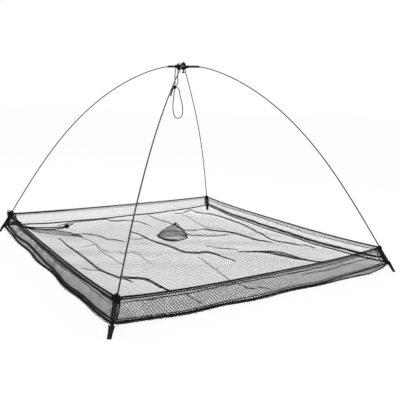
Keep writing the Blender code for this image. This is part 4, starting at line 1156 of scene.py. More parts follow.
@dataclass(frozen=True)
class RodShape:
    """The rods' sizes and the curve that they take, as in the model."""

    tray: TrayShape
    radius: float = 0.0015
    mouth_tilt: float = math.radians(13.4)
    middle_tilt: float = math.radians(46.9)
    settle: float = 0.030
    bar_reach: float = 0.061
    bore_radius: float = 0.003
    insert: float = 0.040
    skew: float = math.radians(7.7)
    tip_above_ground: float = 0.008

    @property
    def play(self) -> float:
        """How far a rod's axis lies from its bore's."""
        return self.bore_radius - self.radius - GAP

    def bowed(self, steps: int = 400) -> Array:
        """The bowed part from tube to rim, as (radius, drop) at even steps."""
        rim, mouth = self.tray.rod_tilt, self.mouth_tilt
        bend = 2 * (rim + mouth - 2 * self.middle_tilt)
        share = (np.arange(steps) + 0.5) / steps
        run = self.tray.corner_radius - self.bar_reach
        length = run
        for _ in range(12):
            tilt = mouth + (rim - mouth - bend) * share + bend * share ** 2
            tilt = tilt - (mouth - 4 * self.play / self.insert) * np.exp(-share * length / self.settle)
            length = run / np.cos(tilt).mean()
        steps_out = np.stack([np.cos(tilt), np.sin(tilt)], 1) * length / steps
        return np.vstack([[0, 0], np.cumsum(steps_out, axis=0)]) + (self.bar_reach, 0.0)

    @property
    def hub(self) -> Array:
        """The middle of the crossed tubes."""
        return UP * (self.tray.rim_height + self.bowed()[-1, 1] + self.play)

    def line(self, corner: Corner) -> Array:
        """A rod's centreline: down the loose bore, out in a bow to the rim, and straight to its tip."""
        tray, hub = self.tray, self.hub
        skew = self.skew if corner.carrier == "upper_bar" else 0.0
        angle = math.radians(corner.bearing) + skew
        along_bar = np.array((math.cos(angle), math.sin(angle), 0.0))
        share = np.linspace(0, 1, 9)[:, None]
        bore = (hub + along_bar * (self.bar_reach - self.insert * (1 - share))
                + UP * self.play * (1 - 2 * share ** 2))
        run = self.bowed()[4::4]
        start = self.bar_reach * math.cos(skew)
        share = ((run[:, :1] - self.bar_reach) / (tray.corner_radius - self.bar_reach))
        sideways = (self.bar_reach * math.sin(skew) * (1 - 3 * share ** 2 + 2 * share ** 3)
                    + math.tan(skew) * (tray.corner_radius - start) * share * (1 - share) ** 2)
        bow = (corner.out * (start + share * (tray.corner_radius - start)) + corner.across * sideways
               + UP * (hub[2] - self.play - run[:, 1:]))
        tip = tray.rim_height / math.sin(tray.rod_tilt) - self.tip_above_ground
        down = tray.corner_place(corner)[1][2]
        return np.vstack([bore, bow, bow[-1] + down * np.linspace(0, tip, 9)[1:, None]])


@dataclass
class CornerFittings:
    """What is on one rod: the rod, its two lashings, the tape between them and the foot pocket."""

    corner: Corner
    rods: RodShape
    rod_sides: int = 14
    coat: tuple[float, float] = (0.00020, 0.00060)   # the rod's black coat in its tube and at its tip
    lash_radius: float = 0.00105
    lash_half: float = 0.0054
    tape_width: float = 0.0115
    tape_thickness: float = 0.0012
    tape_slit: float = 0.0030
    crossings: tuple = ((0.62, 0.0), (-0.62, 0.3), (0.20, -0.9))     # lean and phase of each crossing turn
    knots: tuple = ((0.5, 0.0, 0.0), (-0.4, 1.1, 0.7), (1.2, 2.0, -0.5), (0.0, 0.6, -1.0))
    bows: tuple = ((0.0050, -0.003), (0.0040, 0.004))    # half reach and place of each bow
    hanging_end: float = 0.030
    tape_end: float = 0.006
    tape_stitches: int = 9
    tape_stitch: tuple[float, float] = (0.0011, 0.00028)     # half length and radius of a stitch
    tape_margin: float = 0.0021      # from the tape's edge to its stitches
    foot_top: tuple[float, float] = (0.017, 0.011)
    foot_toe: tuple[float, float] = (0.012, 0.009)
    foot_narrowed: float = 0.65      # share of the foot's length in which it narrows
    foot_power: float = 2.6
    foot_rows: int = 22
    foot_sides: int = 44
    foot_pleats: int = 9
    foot_dips: tuple = ((0.05, 0.10), (0.04, 0.93))    # how deep its folds by the ends are, and where
    foot_stitches: int = 7
    foot_stitch: tuple[float, float] = (0.0012, 0.0003)
    wad_place: tuple[float, float, float] = (0.0, -0.0015, 0.0020)

    @property
    def axes(self) -> Array:
        """The directions across the rod, outwards and down it, as rows."""
        return self.rods.tray.corner_place(self.corner)[1]

    def placed(self, points: Sequence, distance: float = 0.0) -> Array:
        """Points given across the rod, outwards and down it, from a place below the rim."""
        return self.rods.tray.corner_place(self.corner, distance)[0] + np.asarray(points) @ self.axes

    def coil(self, skin: Skin, radius: float, reach: float, distance: float, turns: int = 5) -> None:
        """Turns of lashing cord round the rod, as far above as below one distance down it."""
        line = evenly(self.placed([(0.0, 0.0, -reach), (0.0, 0.0, reach)], distance), reach / (8 * turns))
        across, _, down = self.axes
        skin.tube(helix(line, radius, turns, across), self.lash_radius, 7, down, Lay.BRAIDED)

    def lashing(self, label: str, outer: float, distance: float) -> bpy.types.Object:
        """One lashing: a core of turns, turns drawn over them and crossing turns."""
        skin, half, cord = Skin(), self.lash_half, self.lash_radius
        self.coil(skin, self.rods.radius + GAP + cord, half * 0.86, distance)
        self.coil(skin, outer - cord, half * 0.80, distance)
        angle = circle(48)
        for lean, phase in self.crossings:
            turn = ring(1.0, angle, lean * np.cos(angle + phase)) * (outer - 0.2 * cord)
            skin.tube(self.placed(turn, distance), cord, 7, self.axes[2], Lay.BRAIDED, closed=True)
        skin.lump(self.placed(np.zeros(3), distance), np.array((outer, outer, half)) * 0.80, self.axes)
        if label == "rim":
            self.knotted(skin)
            self.loose_end(skin, outer)
        return skin.piece(f"{label}_lashing_turns_{self.corner.label}", TWINE)

    def knotted(self, skin: Skin) -> None:
        """The knots drawn up on the rim lashing."""
        cord, wad = self.lash_radius, self.corner.wad
        for lean, roll, shift in self.knots:
            c, s, d, e = math.cos(lean), math.sin(lean), math.cos(roll), math.sin(roll)
            turned = (np.array(((c, 0.0, s), (0.0, 1.0, 0.0), (-s, 0.0, c)))
                      @ np.array(((1.0, 0.0, 0.0), (0.0, d, e), (0.0, -e, d))) @ self.axes)
            place = self.placed(self.wad_place + np.array((0.0015, 0.0, 0.0030)) * shift)
            skin.tube(knot_line(place, wad * (1 - 0.15 * abs(shift)), 0.7, cord, turned), cord * 1.2, 7,
                      ASKEW, Lay.BRAIDED, closed=True)
        skin.lump(self.placed(self.wad_place), np.full(3, wad * 0.80), self.axes)

    def loose_end(self, skin: Skin, outer: float) -> None:
        """The two bows that stand up from the left lashing, and the end that hangs from the back one."""
        if self.corner is Corner.LEFT:
            t = np.linspace(0, 2 * math.pi, 40)[:-1]
            for reach, low in self.bows:
                bow = np.stack([0.0030 * np.sin(t), 0.0080 + reach * (1 - np.cos(t)),
                                low + 0.0040 * np.sin(t)], 1)
                skin.tube(self.placed(bow), self.lash_radius * 1.35, 6, ASKEW, Lay.BRAIDED, closed=True)
        if self.corner is Corner.BACK:
            t = np.linspace(0, 1, 14)[:, None]
            end = self.placed((outer * 0.5, -outer * 0.8, 0.0)) - UP * self.hanging_end * t
            end = end + np.sin(t * 4) * (0.002, -0.001, 0.0)
            skin.tube(end, self.lash_radius * 0.85, 6, self.axes[0], Lay.BRAIDED)

    def tape(self) -> bpy.types.Object:
        """The webbing between the lashings: two legs along the rod, joined at both ends and stitched."""
        skin, thickness, (half, radius) = Skin(), self.tape_thickness, self.tape_stitch
        start, end = self.lash_half + GAP, self.rods.tray.hem_distance - self.lash_half - GAP
        low = self.rods.radius + GAP
        z = np.linspace(start, end, 45)
        inside = np.clip(np.minimum(z - start, end - z) / self.tape_end, 0, 1)
        slit = self.tape_slit / 2 * np.sin(inside * math.pi / 2) ** 2
        thick = thickness * (0.82 + 0.18 * np.sin(900 * z))
        for side in (1, -1):
            near, far = side * slit, side * (self.tape_width / 2 - 0.0005 * (1 + np.sin(700 * z + side)))
            section = ((near, 0.0), (far, 0.0), (far, 0.8), (far * 0.96 + near * 0.04, 1.0),
                       (near * 0.9 + far * 0.1, 1.0), (near, 0.8))
            rings = np.stack([np.stack([x, low + y * thick, z], 1) for x, y in section], 1)
            skin.loft(self.placed(rings[:, ::side]))
        for k in range(self.tape_stitches):
            at = start + (k + 0.5) * (end - start) / self.tape_stitches
            for side in (-1, 1):
                x = side * (self.tape_width / 2 - self.tape_margin)
                stitch = [(x, low + thickness * 0.8, at - half), (x, low + thickness * 1.05, at),
                          (x, low + thickness * 0.8, at + half)]
                skin.tube(self.placed(stitch), radius, 5)
        return skin.piece("corner_tape_web_" + self.corner.label, TAPE)

    def foot(self) -> bpy.types.Object:
        """The folded tape pocket over the rod's tip, pleated lengthwise, which stands on the ground."""
        tray = self.rods.tray
        top = tray.hem_distance + self.lash_half + GAP
        ground = tray.rim_height / math.sin(tray.rod_tilt)
        turn = circle(self.foot_sides, 0.5)
        c, s = squared(np.cos(turn), self.foot_power), squared(np.sin(turn), self.foot_power)
        rings = []
        for part in np.linspace(0, 1, self.foot_rows):
            width, depth = (a + (b - a) * min(1.0, part / self.foot_narrowed)
                            for a, b in zip(self.foot_top, self.foot_toe))
            fold = 1 - 0.13 * (0.5 + 0.5 * np.cos(self.foot_pleats * turn + 2.4 * part)) * (1 - 0.3 * part)
            for dip, place in self.foot_dips:
                fold -= dip * math.exp(-((part - place) / 0.05) ** 2)
            y = depth / 2 * s * fold
            settle = max(0.0, (part - self.foot_narrowed) / (1 - self.foot_narrowed))
            level = top + (ground - top) * part + y / math.tan(tray.rod_tilt) * settle
            rings.append(np.stack([width / 2 * c * fold, y, level], 1))
        collar, hole = rings[0] * (0.72, 0.72, 1.0), rings[0] * (0.30, 0.30, 1.0) + (0.0, 0.0, 0.004)
        skin, (half, radius) = Skin(), self.foot_stitch
        skin.loft(self.placed([hole, collar, *rings]))
        for side in (-1, 1):
            for k in range(self.foot_stitches):
                part = 0.14 + 0.1 * k
                width = np.interp(part, (0, self.foot_narrowed), (self.foot_top[0], self.foot_toe[0]))
                x, at = side * width * 0.485, top + (ground - top) * part
                stitch = [(x * 0.97, -0.0004, at - half), (x * 1.01, 0.0, at), (x * 0.97, 0.0004, at + half)]
                skin.tube(self.placed(stitch), radius, 5)
        return skin.piece("foot_sleeve_" + self.corner.label, FOOT, 60)

    def build(self) -> list[bpy.types.Object]:
        """Makes the corner's pieces, which all go with its rod."""
        label, tray = self.corner.label, self.rods.tray
        skin = Skin()
        line = self.rods.line(self.corner)
        coat = np.interp(np.arange(len(line)), (10, len(line) * 0.8), self.coat)
        skin.tube(line, self.rods.radius + coat, self.rod_sides, self.axes[0])
        made = [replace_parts(skin.piece("rod_wire_" + label, ROD), "rod_" + label)]
        for kind, outer, distance in (("rim", tray.rim_lashing, 0.0),
                                      ("hem", tray.hem_lashing, tray.hem_distance)):
            made.append(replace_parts(self.lashing(kind, outer, distance), f"{kind}_lashing_{label}"))
        made.append(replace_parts(self.tape(), "corner_tape_" + label))
        made.append(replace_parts(self.foot(), "foot_pocket_" + label))
        return [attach(piece, self.corner.rod_body) for piece in made]


@dataclass
class Hub:
    """The crossed tubes, each pressed flat in the middle, on one long bolt with washers and nuts."""

    rods: RodShape
    bar_radius: float = 0.004
    flat: tuple[float, float, float] = (0.010, 0.0128, 0.0020)   # half length, width, thickness
    plate_half: float = 0.0036       # half length of the plate round the bolt's hole
    rings_from: float = 0.0034       # and where the two halves of the tube start beside it
    taper: float = 0.008
    flat_power: float = 5.0
    sides: int = 40
    end_slope: float = 0.5
    mouth_trim: float = 0.0004
    bolt_radius: float = 0.003
    hole_radius: float = 0.0033
    thread_pitch: float = 0.0010
    thread_depth: float = 0.00032
    bolt_chamfer: float = 0.00075
    bolt_above: float = 0.017
    bolt_below: float = 0.023
    head_height: float = 0.004
    hex_across: float = 0.010
    hex_bevel: tuple[float, float] = (0.96, 1.9)     # its least reach as a share, and its slope
    nut_height: float = 0.005
    washer: tuple[float, float] = (0.006, 0.001)
    edge: float = 0.0002             # how far a washer's edges are cut back

    def bar(self, name: str, angle: float, side: int) -> bpy.types.Object:
        """One tube, with its pressed middle above or below the other's.

        Args:
            name: the piece's name.
            angle: the way that it points.
            side: 1 for the upper bar and -1 for the lower.
        Returns:
            The piece.
        """
        half, width, thickness = self.flat
        lift = side * (GAP + thickness) / 2
        turn = circle(self.sides, 0.5)
        c, s = np.cos(turn), np.sin(turn)
        mouth, bore, radius = self.rods.bar_reach, self.rods.bore_radius, self.bar_radius
        floor = half + self.taper + 0.0005
        rings = []
        for x in (self.rings_from, half * 0.7, *(half + self.taper * np.linspace(0, 1, 11)),
                  *np.linspace(floor + 0.002, mouth - 0.004, 12), mouth - 0.0006, mouth):
            share = min(1.0, max(0.0, (x - half) / self.taper))
            roundness = share * share * (3 - 2 * share)
            power = self.flat_power + (2 - self.flat_power) * roundness
            trim = self.mouth_trim if x == mouth else 0.0
            y, z = ((wide / 2 + (radius - wide / 2) * roundness - trim) * squared(arm, power)
                    for wide, arm in ((width, c), (thickness, s)))
            cut = self.end_slope * (z + radius) if x > mouth - 0.001 else 0.0 * z
            rings.append(np.stack([x - cut, y, z + lift * (1 - roundness)], 1))
        for x, slope in ((mouth, self.end_slope), (floor, 0.0)):
            rings.append(np.stack([x - slope * (bore * s + radius), bore * c, bore * s], 1))
        rings = np.array(rings)
        skin, axes = Skin(), rolled(angle)
        for way in (1, -1):
            skin.loft(self.rods.hub + (rings * (way, 1.0, 1.0))[:, ::way] @ axes)
        low, high = lift - thickness / 2, lift + thickness / 2
        outline = (np.clip(width * c, -self.plate_half, self.plate_half),
                   np.clip(width * s, -width / 2, width / 2))
        plate = [np.stack([*outline, np.full(self.sides, z)], 1) for z in (low, high)]
        plate += [ring(self.hole_radius, turn, z) for z in (high, low)]
        skin.loft(self.rods.hub + np.array(plate) @ axes, closed=True)
        return skin.piece(name, TUBE, 40)

    def hexagon(self, low: float, high: float, hole: Optional[float], bevel: tuple[bool, bool]) -> Array:
        """Rings of a hexagon with its corners cut back by a cone, and the hole down its middle."""
        turn = circle(48)
        flat = self.hex_across / 2 / np.cos((turn + math.pi / 6) % (math.pi / 3) - math.pi / 6)
        rings = []
        for height in np.linspace(low, high, 9):
            edge = min(height - low if bevel[0] else 1.0, high - height if bevel[1] else 1.0)
            cone = self.hex_across / 2 * self.hex_bevel[0] + edge * self.hex_bevel[1]
            rings.append(ring(np.minimum(flat, cone), turn, height))
        return np.array(rings + [ring(hole, turn, height) for height in ((high, low) if hole else ())])

    def bolt(self) -> bpy.types.Object:
        """The bolt: a bevelled head below, and a shank threaded to its chamfered end."""
        skin = Skin()
        low, high = -self.bolt_below + self.head_height, self.bolt_above
        skin.loft(self.rods.hub + self.hexagon(-self.bolt_below, low, None, (True, False)))
        turn = circle(24)
        heights = np.arange(low - self.edge, high, self.thread_pitch / 6)[:, None]
        groove = np.abs(((heights / self.thread_pitch - turn / (2 * math.pi)) % 1.0) - 0.5) * 2
        reach = np.minimum(self.bolt_radius - self.thread_depth * groove,
                           self.bolt_radius - self.bolt_chamfer + high - heights)
        skin.loft(self.rods.hub + ring(reach, turn, heights))
        return skin.piece("pivot_bolt_threaded", HARDWARE, 35)

    def ring_of(self, name: str, rings: Array) -> bpy.types.Object:
        """A nut or washer from the rings of its section."""
        skin = Skin()
        skin.loft(self.rods.hub + rings, closed=True)
        return skin.piece(name, HARDWARE, 35)

    def build(self) -> list[bpy.types.Object]:
        """Makes the hub's pieces."""
        left = math.radians(Corner.LEFT.bearing)
        back = math.radians(Corner.BACK.bearing) + self.rods.skew
        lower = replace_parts(self.bar("tube_lower", left, -1), "cross_bar_lower")
        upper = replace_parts(self.bar("tube_upper", back, 1), "cross_bar_upper")
        made = [lower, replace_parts(self.bolt(), "pivot_bolt")]
        start = GAP / 2 + self.flat[2] + GAP
        (radius, thick), edge, turn = self.washer, self.edge, circle(40)
        for label, low in (("upper", start), ("lower", -start - thick)):
            profile = ((radius - edge, low), (radius, low + edge), (radius, low + thick - edge),
                       (radius - edge, low + thick), (self.hole_radius, low + thick), (self.hole_radius, low))
            rings = np.array([ring(reach, turn, height) for reach, height in profile])
            made.append(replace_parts(self.ring_of("washer_ring_" + label, rings), "washer_" + label))
        start += thick + GAP
        for label, low in (("upper", start), ("lower", -start - self.nut_height)):
            rings = self.hexagon(low, low + self.nut_height, self.hole_radius, (True, True))
            made.append(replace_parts(self.ring_of("nut_bevelled_" + label, rings), "nut_" + label))
        return [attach(piece, "root") for piece in made] + [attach(upper, "upper_bar")]


def knot_line(centre: Array, radius: float, squash: float, cord: float, axes: Array = np.eye(3)) -> Array:
    """The line of a cord drawn up into an overhand knot.

    Args:
        centre: the knot's middle.
        radius: how far the knot's outside reaches.
        squash: its thickness as a share of its width.
        cord: the cord's radius.
        axes: three directions as rows, the last one through the knot.
    Returns:
        A closed line.
    """
    t = circle(84)
    x, y = (np.sin(t) + 2 * np.sin(2 * t)) / 3, (np.cos(t) - 2 * np.cos(2 * t)) / 3
    reach = radius - cord
    return centre + np.stack([x * reach, y * reach, -np.sin(3 * t) * (radius * squash - cord)], 1) @ axes


def frayed(skin: Skin, start: Array, way: Array, length: float, strands: int, radius: float,
           seed: int) -> None:
    """Loose filaments at a cut end of cord."""
    draws = np.random.default_rng(seed)
    for _ in range(strands):
        bend = unit(way + draws.normal(0, 0.35, 3))
        t = np.linspace(0, 1, 7)[:, None]
        path = (way * t + (bend - way) * t ** 2) * length
        line = start + draws.normal(0, radius, 3) + path * draws.uniform(0.6, 1)
        line[:, 2] = np.maximum(line[:, 2], 0.0045)
        skin.tube(line, radius * (1 - 0.6 * t[:, 0]), 4, np.array((0.31, 0.42, 0.85)))


@dataclass
class LiftingCord:
    """The cord that lifts the net: its hitch on a tube, the turn on the bolt, and the knotted loop."""

    hub: Hub
    radius: float = 0.0010
    tail_radius: float = 0.0016
    fuzz: float = 1.7                # how much wider its raised filaments make it
    hitch_centre: float = 0.025
    hitch_turns: int = 5
    pitch: float = 0.0025
    bolt_turns: int = 2
    lead_arch: float = 0.0025
    wads: tuple = ((0.0090, 0.0215, 0.0090, 0.0100, -0.0018, 20),
                   (0.0095, 0.0200, 0.0075, 0.0060, -0.0018, 12),
                   (0.0040, 0.0130, 0.0085, 0.0078, -0.0014, 14),
                   (-0.0180, -0.0085, 0.0066, 0.0046, -0.0012, 9))
    round_bolt: tuple = ((0.0030, 0.0105, 0.0072, 5), (-0.0100, -0.0032, 0.0074, 5))
    sway: float = 0.0012
    wave: float = 40.0
    knot_radius: float = 0.0032
    knot_squash: float = 0.95
    knot_place: tuple[float, float] = (0.0300, -0.0735)
    left: tuple = ((0.0302, -0.0180), (0.0309, -0.0300), (0.0306, -0.0420), (0.0298, -0.0540),
                   (0.0294, -0.0630))
    right: tuple = ((0.0200, -0.0180), (0.0206, -0.0300), (0.0201, -0.0420), (0.0192, -0.0530),
                    (0.0202, -0.0615), (0.0232, -0.0665))
    loop: tuple = ((0.0230, -0.0745), (0.0166, -0.0790), (0.0123, -0.0880), (0.0100, -0.1000),
                   (0.0072, -0.1120), (0.0030, -0.1240), (0.0000, -0.1370), (-0.0022, -0.1520),
                   (-0.0028, -0.1660), (0.0006, -0.1770), (0.0080, -0.1843), (0.0170, -0.1858),
                   (0.0250, -0.1810), (0.0306, -0.1710), (0.0334, -0.1570), (0.0345, -0.1400),
                   (0.0338, -0.1220), (0.0328, -0.1050), (0.0314, -0.0920), (0.0302, -0.0830))
    tail: tuple = ((0.0362, -0.0790), (0.0392, -0.0870), (0.0420, -0.0965), (0.0446, -0.1070))
    hitch_lean: float = 0.0052       # how far the turn that crosses the others leans to each side
    knot_turns: tuple = ((2.1, 0.0), (1.8, 1.1), (1.5, 2.3))     # each turn's size and how far it is rolled
    spacing: float = 0.0007

    @property
    def front(self) -> Array:
        """The way square to the plane in which the cord hangs."""
        return np.cross(UP, Corner.LEFT.out)

    def in_plane(self, points: Sequence, sway: float = 0.0) -> Array:
        """Points given towards the left corner and up from the bolt, with a slight sway to the front."""
        a, b = np.array(points, float).T[..., None]
        return self.hub.rods.hub + Corner.LEFT.out * a + UP * b + self.front * sway * np.sin(self.wave * b)

    def hang(self, name: str, route: Array, radius: float, node: str, cord_exit: Array,
             far_end: str) -> bpy.types.Object:
        """One free stretch of the cord, braided along its route."""
        line = evenly(route, self.spacing)
        radius *= self.fuzz
        skin = Skin()
        skin.tube(line, radius, 10, self.front, Lay.BRAIDED)
        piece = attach(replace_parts(skin.piece(name, TWINE), node), "root")
        return piece

    def wound(self, name: str, node: str, line: Array, reach: float, turns: float, up: Array,
              crossing: Optional[Array] = None) -> bpy.types.Object:
        """Turns of the cord round a tube or bolt, with any turn that crosses them."""
        skin, axis = Skin(), unit(line[-1] - line[0])
        skin.tube(helix(line, reach, turns, up), self.radius, 9, axis, Lay.BRAIDED)
        if crossing is not None:
            skin.tube(crossing, self.radius, 9, axis, Lay.BRAIDED, closed=True)
        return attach(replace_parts(skin.piece(name, TWINE), node), "root")

    def wad(self) -> bpy.types.Object:
        """Spare cord, wound in crossing turns round the lower tube's flat, on both sides of the bolt."""
        skin, hub, left, front = Skin(), self.hub.rods.hub, Corner.LEFT.out, self.front
        for start, end, wide, high, drop, turns in self.wads:
            t = np.linspace(0, 1, round(60 * turns))[:, None]
            angle = 2 * math.pi * turns * t
            swell = 0.78 + 0.22 * np.sin(7.3 * turns * t + 1)
            along = np.sin(2.6 * math.pi * t + 0.55 * np.sin(angle + 1.1))
            along = (start + end) / 2 + (end - start) / 2 * along
            line = (hub + left * along + front * wide * swell * np.cos(angle)
                    + UP * (drop + high * swell * np.sin(angle)))
            skin.tube(line, self.radius * 1.35, 8, unit(left + 0.2 * UP), Lay.BRAIDED)
        for low, high, reach, turns in self.round_bolt:
            t = np.linspace(0, 1, 48 * turns)[:, None]
            angle = 2 * math.pi * turns * t
            swell = reach + 0.0010 * np.sin(1.7 * angle)
            height = low + (high - low) * t + 0.0008 * np.sin(2.3 * angle)
            line = hub + left * swell * np.cos(angle) + front * swell * np.sin(angle) + UP * height
            skin.tube(line, self.radius * 1.2, 8, UP, Lay.BRAIDED)
        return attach(skin.piece("cord_wad", TWINE), "root")

    def knot(self, centre: Array) -> bpy.types.Object:
        """The knot that joins the two strands, the loop and the tail."""
        skin, axes = Skin(), np.array((Corner.LEFT.out, UP, self.front))
        for scale, roll in self.knot_turns:
            turn = knot_line(centre, self.knot_radius * scale, self.knot_squash, self.radius,
                             rolled(roll, axes))
            skin.tube(turn, self.radius * self.fuzz, 9, self.front, Lay.BRAIDED, closed=True)
        skin.lump(centre, np.array((1.55, 1.55, 1.10)) * self.knot_radius, axes)
        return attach(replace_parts(skin.piece("lift_knot_drawn", TWINE), "lift_knot"), "root")

    def build(self) -> list[bpy.types.Object]:
        """Makes the cord's pieces."""
        hub, left, radius = self.hub.rods.hub, Corner.LEFT.out, self.radius
        under = self.hub.bar_radius + GAP
        wrapped, half = under + 2 * radius, self.hitch_turns * self.pitch / 2
        span = np.linspace(-half + radius, half - radius, 120)[:, None]
        turn, reach = circle(60)[:, None], under + radius * 1.05
        crossing = (hub + left * (self.hitch_centre + self.hitch_lean * np.sin(turn))
                    + self.front * reach * np.cos(turn) + UP * reach * np.sin(turn))
        made = [self.wound("hitch_turns", "lift_hitch", hub + left * (self.hitch_centre + span),
                           under + radius, self.hitch_turns, UP, crossing)]
        made.append(self.wad())
        half = self.bolt_turns * self.pitch / 2
        nut_top = GAP / 2 + self.hub.flat[2] + GAP + self.hub.washer[1] + GAP + self.hub.nut_height
        height = nut_top + GAP + half
        span = np.linspace(-half + radius, half - radius, 60)[:, None]
        made.append(self.wound("bolt_turns", "bolt_loop", hub + UP * (height + span),
                               self.hub.hole_radius + radius, self.bolt_turns, self.front))
        share = np.linspace(0, 1, 25)
        near, top = self.hub.hole_radius + 2 * radius + END_GAP, wrapped + radius + GAP
        lead = np.stack([self.hitch_centre + (near - self.hitch_centre) * share,
                         top + (height - top) * share + self.lead_arch * np.sin(math.pi * share)], 1)
        skin = Skin()
        skin.tube(evenly(self.in_plane(lead), self.spacing), radius, 10, self.front, Lay.BRAIDED)
        made.append(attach(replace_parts(skin.piece("lead_to_bolt", TWINE), "hitch_lead"), "root"))
        centre = self.in_plane([self.knot_place])[0]
        made.append(self.knot(centre))
        clear = self.knot_radius + END_GAP

        def towards(point: Array, distance: float = clear) -> Array:
            """The place at a distance from the knot's middle, on the way to a point."""
            return centre + unit(point - centre) * distance

        for side, route in (("left", self.left), ("right", self.right)):
            hung = self.in_plane([(route[0][0], -wrapped - END_GAP), *route], self.sway)
            line = smooth_route(np.vstack([hung, towards(hung[-1])]), 6)
            made.append(self.hang("strand_" + side, line, radius, "lift_strand_" + side, line[0], "knot"))
        loop, tail = self.in_plane(self.loop), self.in_plane(self.tail)
        line = smooth_route(np.vstack([towards(loop[0]), loop, towards(loop[-1])]), 6)
        made.append(self.hang("hanging_loop", line, radius, "lift_loop", line[0], "knot"))
        line = smooth_route(np.vstack([towards(tail[0], clear + self.tail_radius / 4), tail]), 6)
        made.append(self.hang("whipped_tail", line, self.tail_radius, "lift_tail", line[0], "bare"))
        return made


@dataclass
class BaitPocket:
    """The small pocket of closer netting on the floor, with its corded mouth and its tied-off end."""

    mouth: tuple[float, float] = (0.064, 0.137)
    apex: tuple[float, float] = (0.186, 0.306)
    half_width: float = 0.060
    height: float = 0.018
    left_over: float = 0.16
    width_power: float = 2.2
    height_power: float = 1.6
    base: float = 0.0053
    columns: int = 64
    rows: int = 84
    strand: float = 0.00020
    netting_knot: tuple[float, float, float] = (0.00042, 0.00042, 0.00036)
    seam_radius: float = 0.0013
    seam_bow: float = 0.060
    lip_bow: float = 0.040
    lip_radius: float = 0.0008
    lace_radius: float = 0.0003
    lining: tuple[float, float] = (0.44, 0.00019)    # how far in the floor's lining reaches, and its strands
    stitched_rows: tuple[float, float] = (0.33, 0.37)
    knot_radius: float = 0.0060
    knot_squash: float = 0.85
    knot_cord: float = 0.0017

    @property
    def length(self) -> float:
        """From the mouth to the gathered end."""
        return math.dist(self.mouth, self.apex)

    @property
    def way(self) -> Array:
        """The level way from the mouth to the gathered end."""
        return unit(np.array((*self.apex, 0.0)) - np.array((*self.mouth, 0.0)))

    def place(self, share: Number, side: Number, height: Number) -> Array:
        """A point along the pocket from mouth to apex, across it, and above the floor."""
        along = self.way
        across = np.array((along[1], -along[0], 0.0))
        share, side, height = (value[..., None] for value in np.broadcast_arrays(share, side, height))
        return np.array((*self.mouth, self.base)) + along * self.length * share + across * side + UP * height

    def surface(self, share: Array, angle: Array, inside: float = 0.0) -> Array:
        """The cloth of the pocket, at shares from its mouth and angles over its arch."""
        kept = self.left_over
        share = share * (1 - self.knot_radius / self.length)
        pleat = 1 - 0.10 * share ** 2 * (0.5 + 0.5 * np.cos(11 * angle))
        width = self.half_width * (kept + (1 - kept) * (1 - share ** self.width_power)) * pleat - inside
        height = self.height * (kept + (1 - kept) * (1 - share ** self.height_power)) * pleat - inside
        forward = self.lip_bow * np.sin(angle) ** 2 * (1 - share) ** 2 / self.length
        crumple = 0.0012 * np.sin(5 * angle + 14 * share) * np.sin(23 * share) * np.sin(angle)
        return self.place(share - forward, width * np.cos(angle), height * np.sin(angle) + crumple)

    def edges(self) -> list[tuple[Array, float, int]]:
        """The netting drawn together on the pocket's edges: each line, half width and number of strands."""
        side = np.linspace(-1, 1, 60)
        bow = (self.seam_radius + GAP + self.seam_bow * (1 - side ** 2)) / self.length
        side = side * self.half_width
        found = [(self.place(-bow * 0.97, side, 0.0012), 0.0020, 18),
                 (self.place(-bow * 0.98, side, 0.0014)[3:44], 0.0034, 44),
                 (self.place(-bow * 0.92, side * 0.98, 0.0030)[2:40], 0.0040, 36)]
        t = np.linspace(0, 1, 24)
        for start, end, width, strands in (
                ((-0.02, -1.02, 0.001), (0.04, -1.02, 0.006), 0.0030, 12),
                ((-0.05, 0.98, 0.001), (0.15, 0.96, 0.010), 0.0036, 12),
                ((-0.10, -0.90, 0.006), (-0.14, 0.10, 0.010), 0.0012, 12),
                ((0.78, 0.30, 0.010), (0.98, 0.02, 0.012), 0.0028, 14)):
            along, across, high = (a + (b - a) * t for a, b in zip(start, end))
            across = (across + 0.04 * np.sin(9 * t)) * self.half_width
            found.append((self.place(along, across, high), width, strands))
        return found

    def cloth(self) -> bpy.types.Object:
        """The pocket's netting, with the lining of its floor and what is drawn together on its edges."""
        i, j = np.meshgrid(np.arange(self.columns + 1), np.arange(self.rows + 1), indexing="ij")
        angle, share = math.pi * i / self.columns, j / self.rows
        netting = Netting(TrayShape(), strand=self.strand, knot=self.netting_knot)
        names, regions = ["pocket"], np.zeros((self.columns, self.rows), int)
        netting.weave(self.surface(share, angle), regions, names, UP)
        deep, (depth, radius) = self.rows // 2, self.lining
        side, share = np.cos(angle[:, :deep + 1]) * 0.97, share[:, :deep + 1] / share[0, deep]
        out, reach = self.seam_bow * (1 - side ** 2) * 0.96 / self.length, depth * share
        lining = self.place(reach - (1 - share) * out, side * self.half_width * (1 - reach ** 2),
                            0.0008 + 0.006 * np.sin(reach * 3) * (1 - side ** 2))
        netting.weave(lining, regions[:, :deep], names, UP, radius=radius)
        for line, width, strands in self.edges():
            netting.bunch(line, width, width, strands, strands, names, np.zeros(len(line), int))
        return netting.skins["pocket"].piece("pocket_netting", POCKET_MESH)

    def edging(self) -> bpy.types.Object:
        """The laced cord round the mouth, and the two rows of stitches behind it."""
        skin, turn, up = Skin(), np.linspace(0, math.pi, 90), np.array((0.4, -0.3, 0.1))
        lip = self.surface(np.zeros(90), turn)
        skin.tube(lip, self.lip_radius, 8, up, Lay.TWISTED)
        lace = helix(evenly(lip, 0.0006), self.lip_radius + self.lace_radius, 42, up)
        skin.tube(lace, self.lace_radius, 4, up)
        for row in self.stitched_rows:
            stitched = self.surface(np.full(90, row), turn)
            stitched[:, 2] += 0.0004 * np.sign(np.sin(np.arange(90) * 1.1))
            skin.tube(stitched, 0.0004, 5, up)
            skin.beads(stitched[20:80:4], (0.0016, 0.0016, 0.0012), np.eye(3))
        return skin.piece("pocket_edging", ROPE)

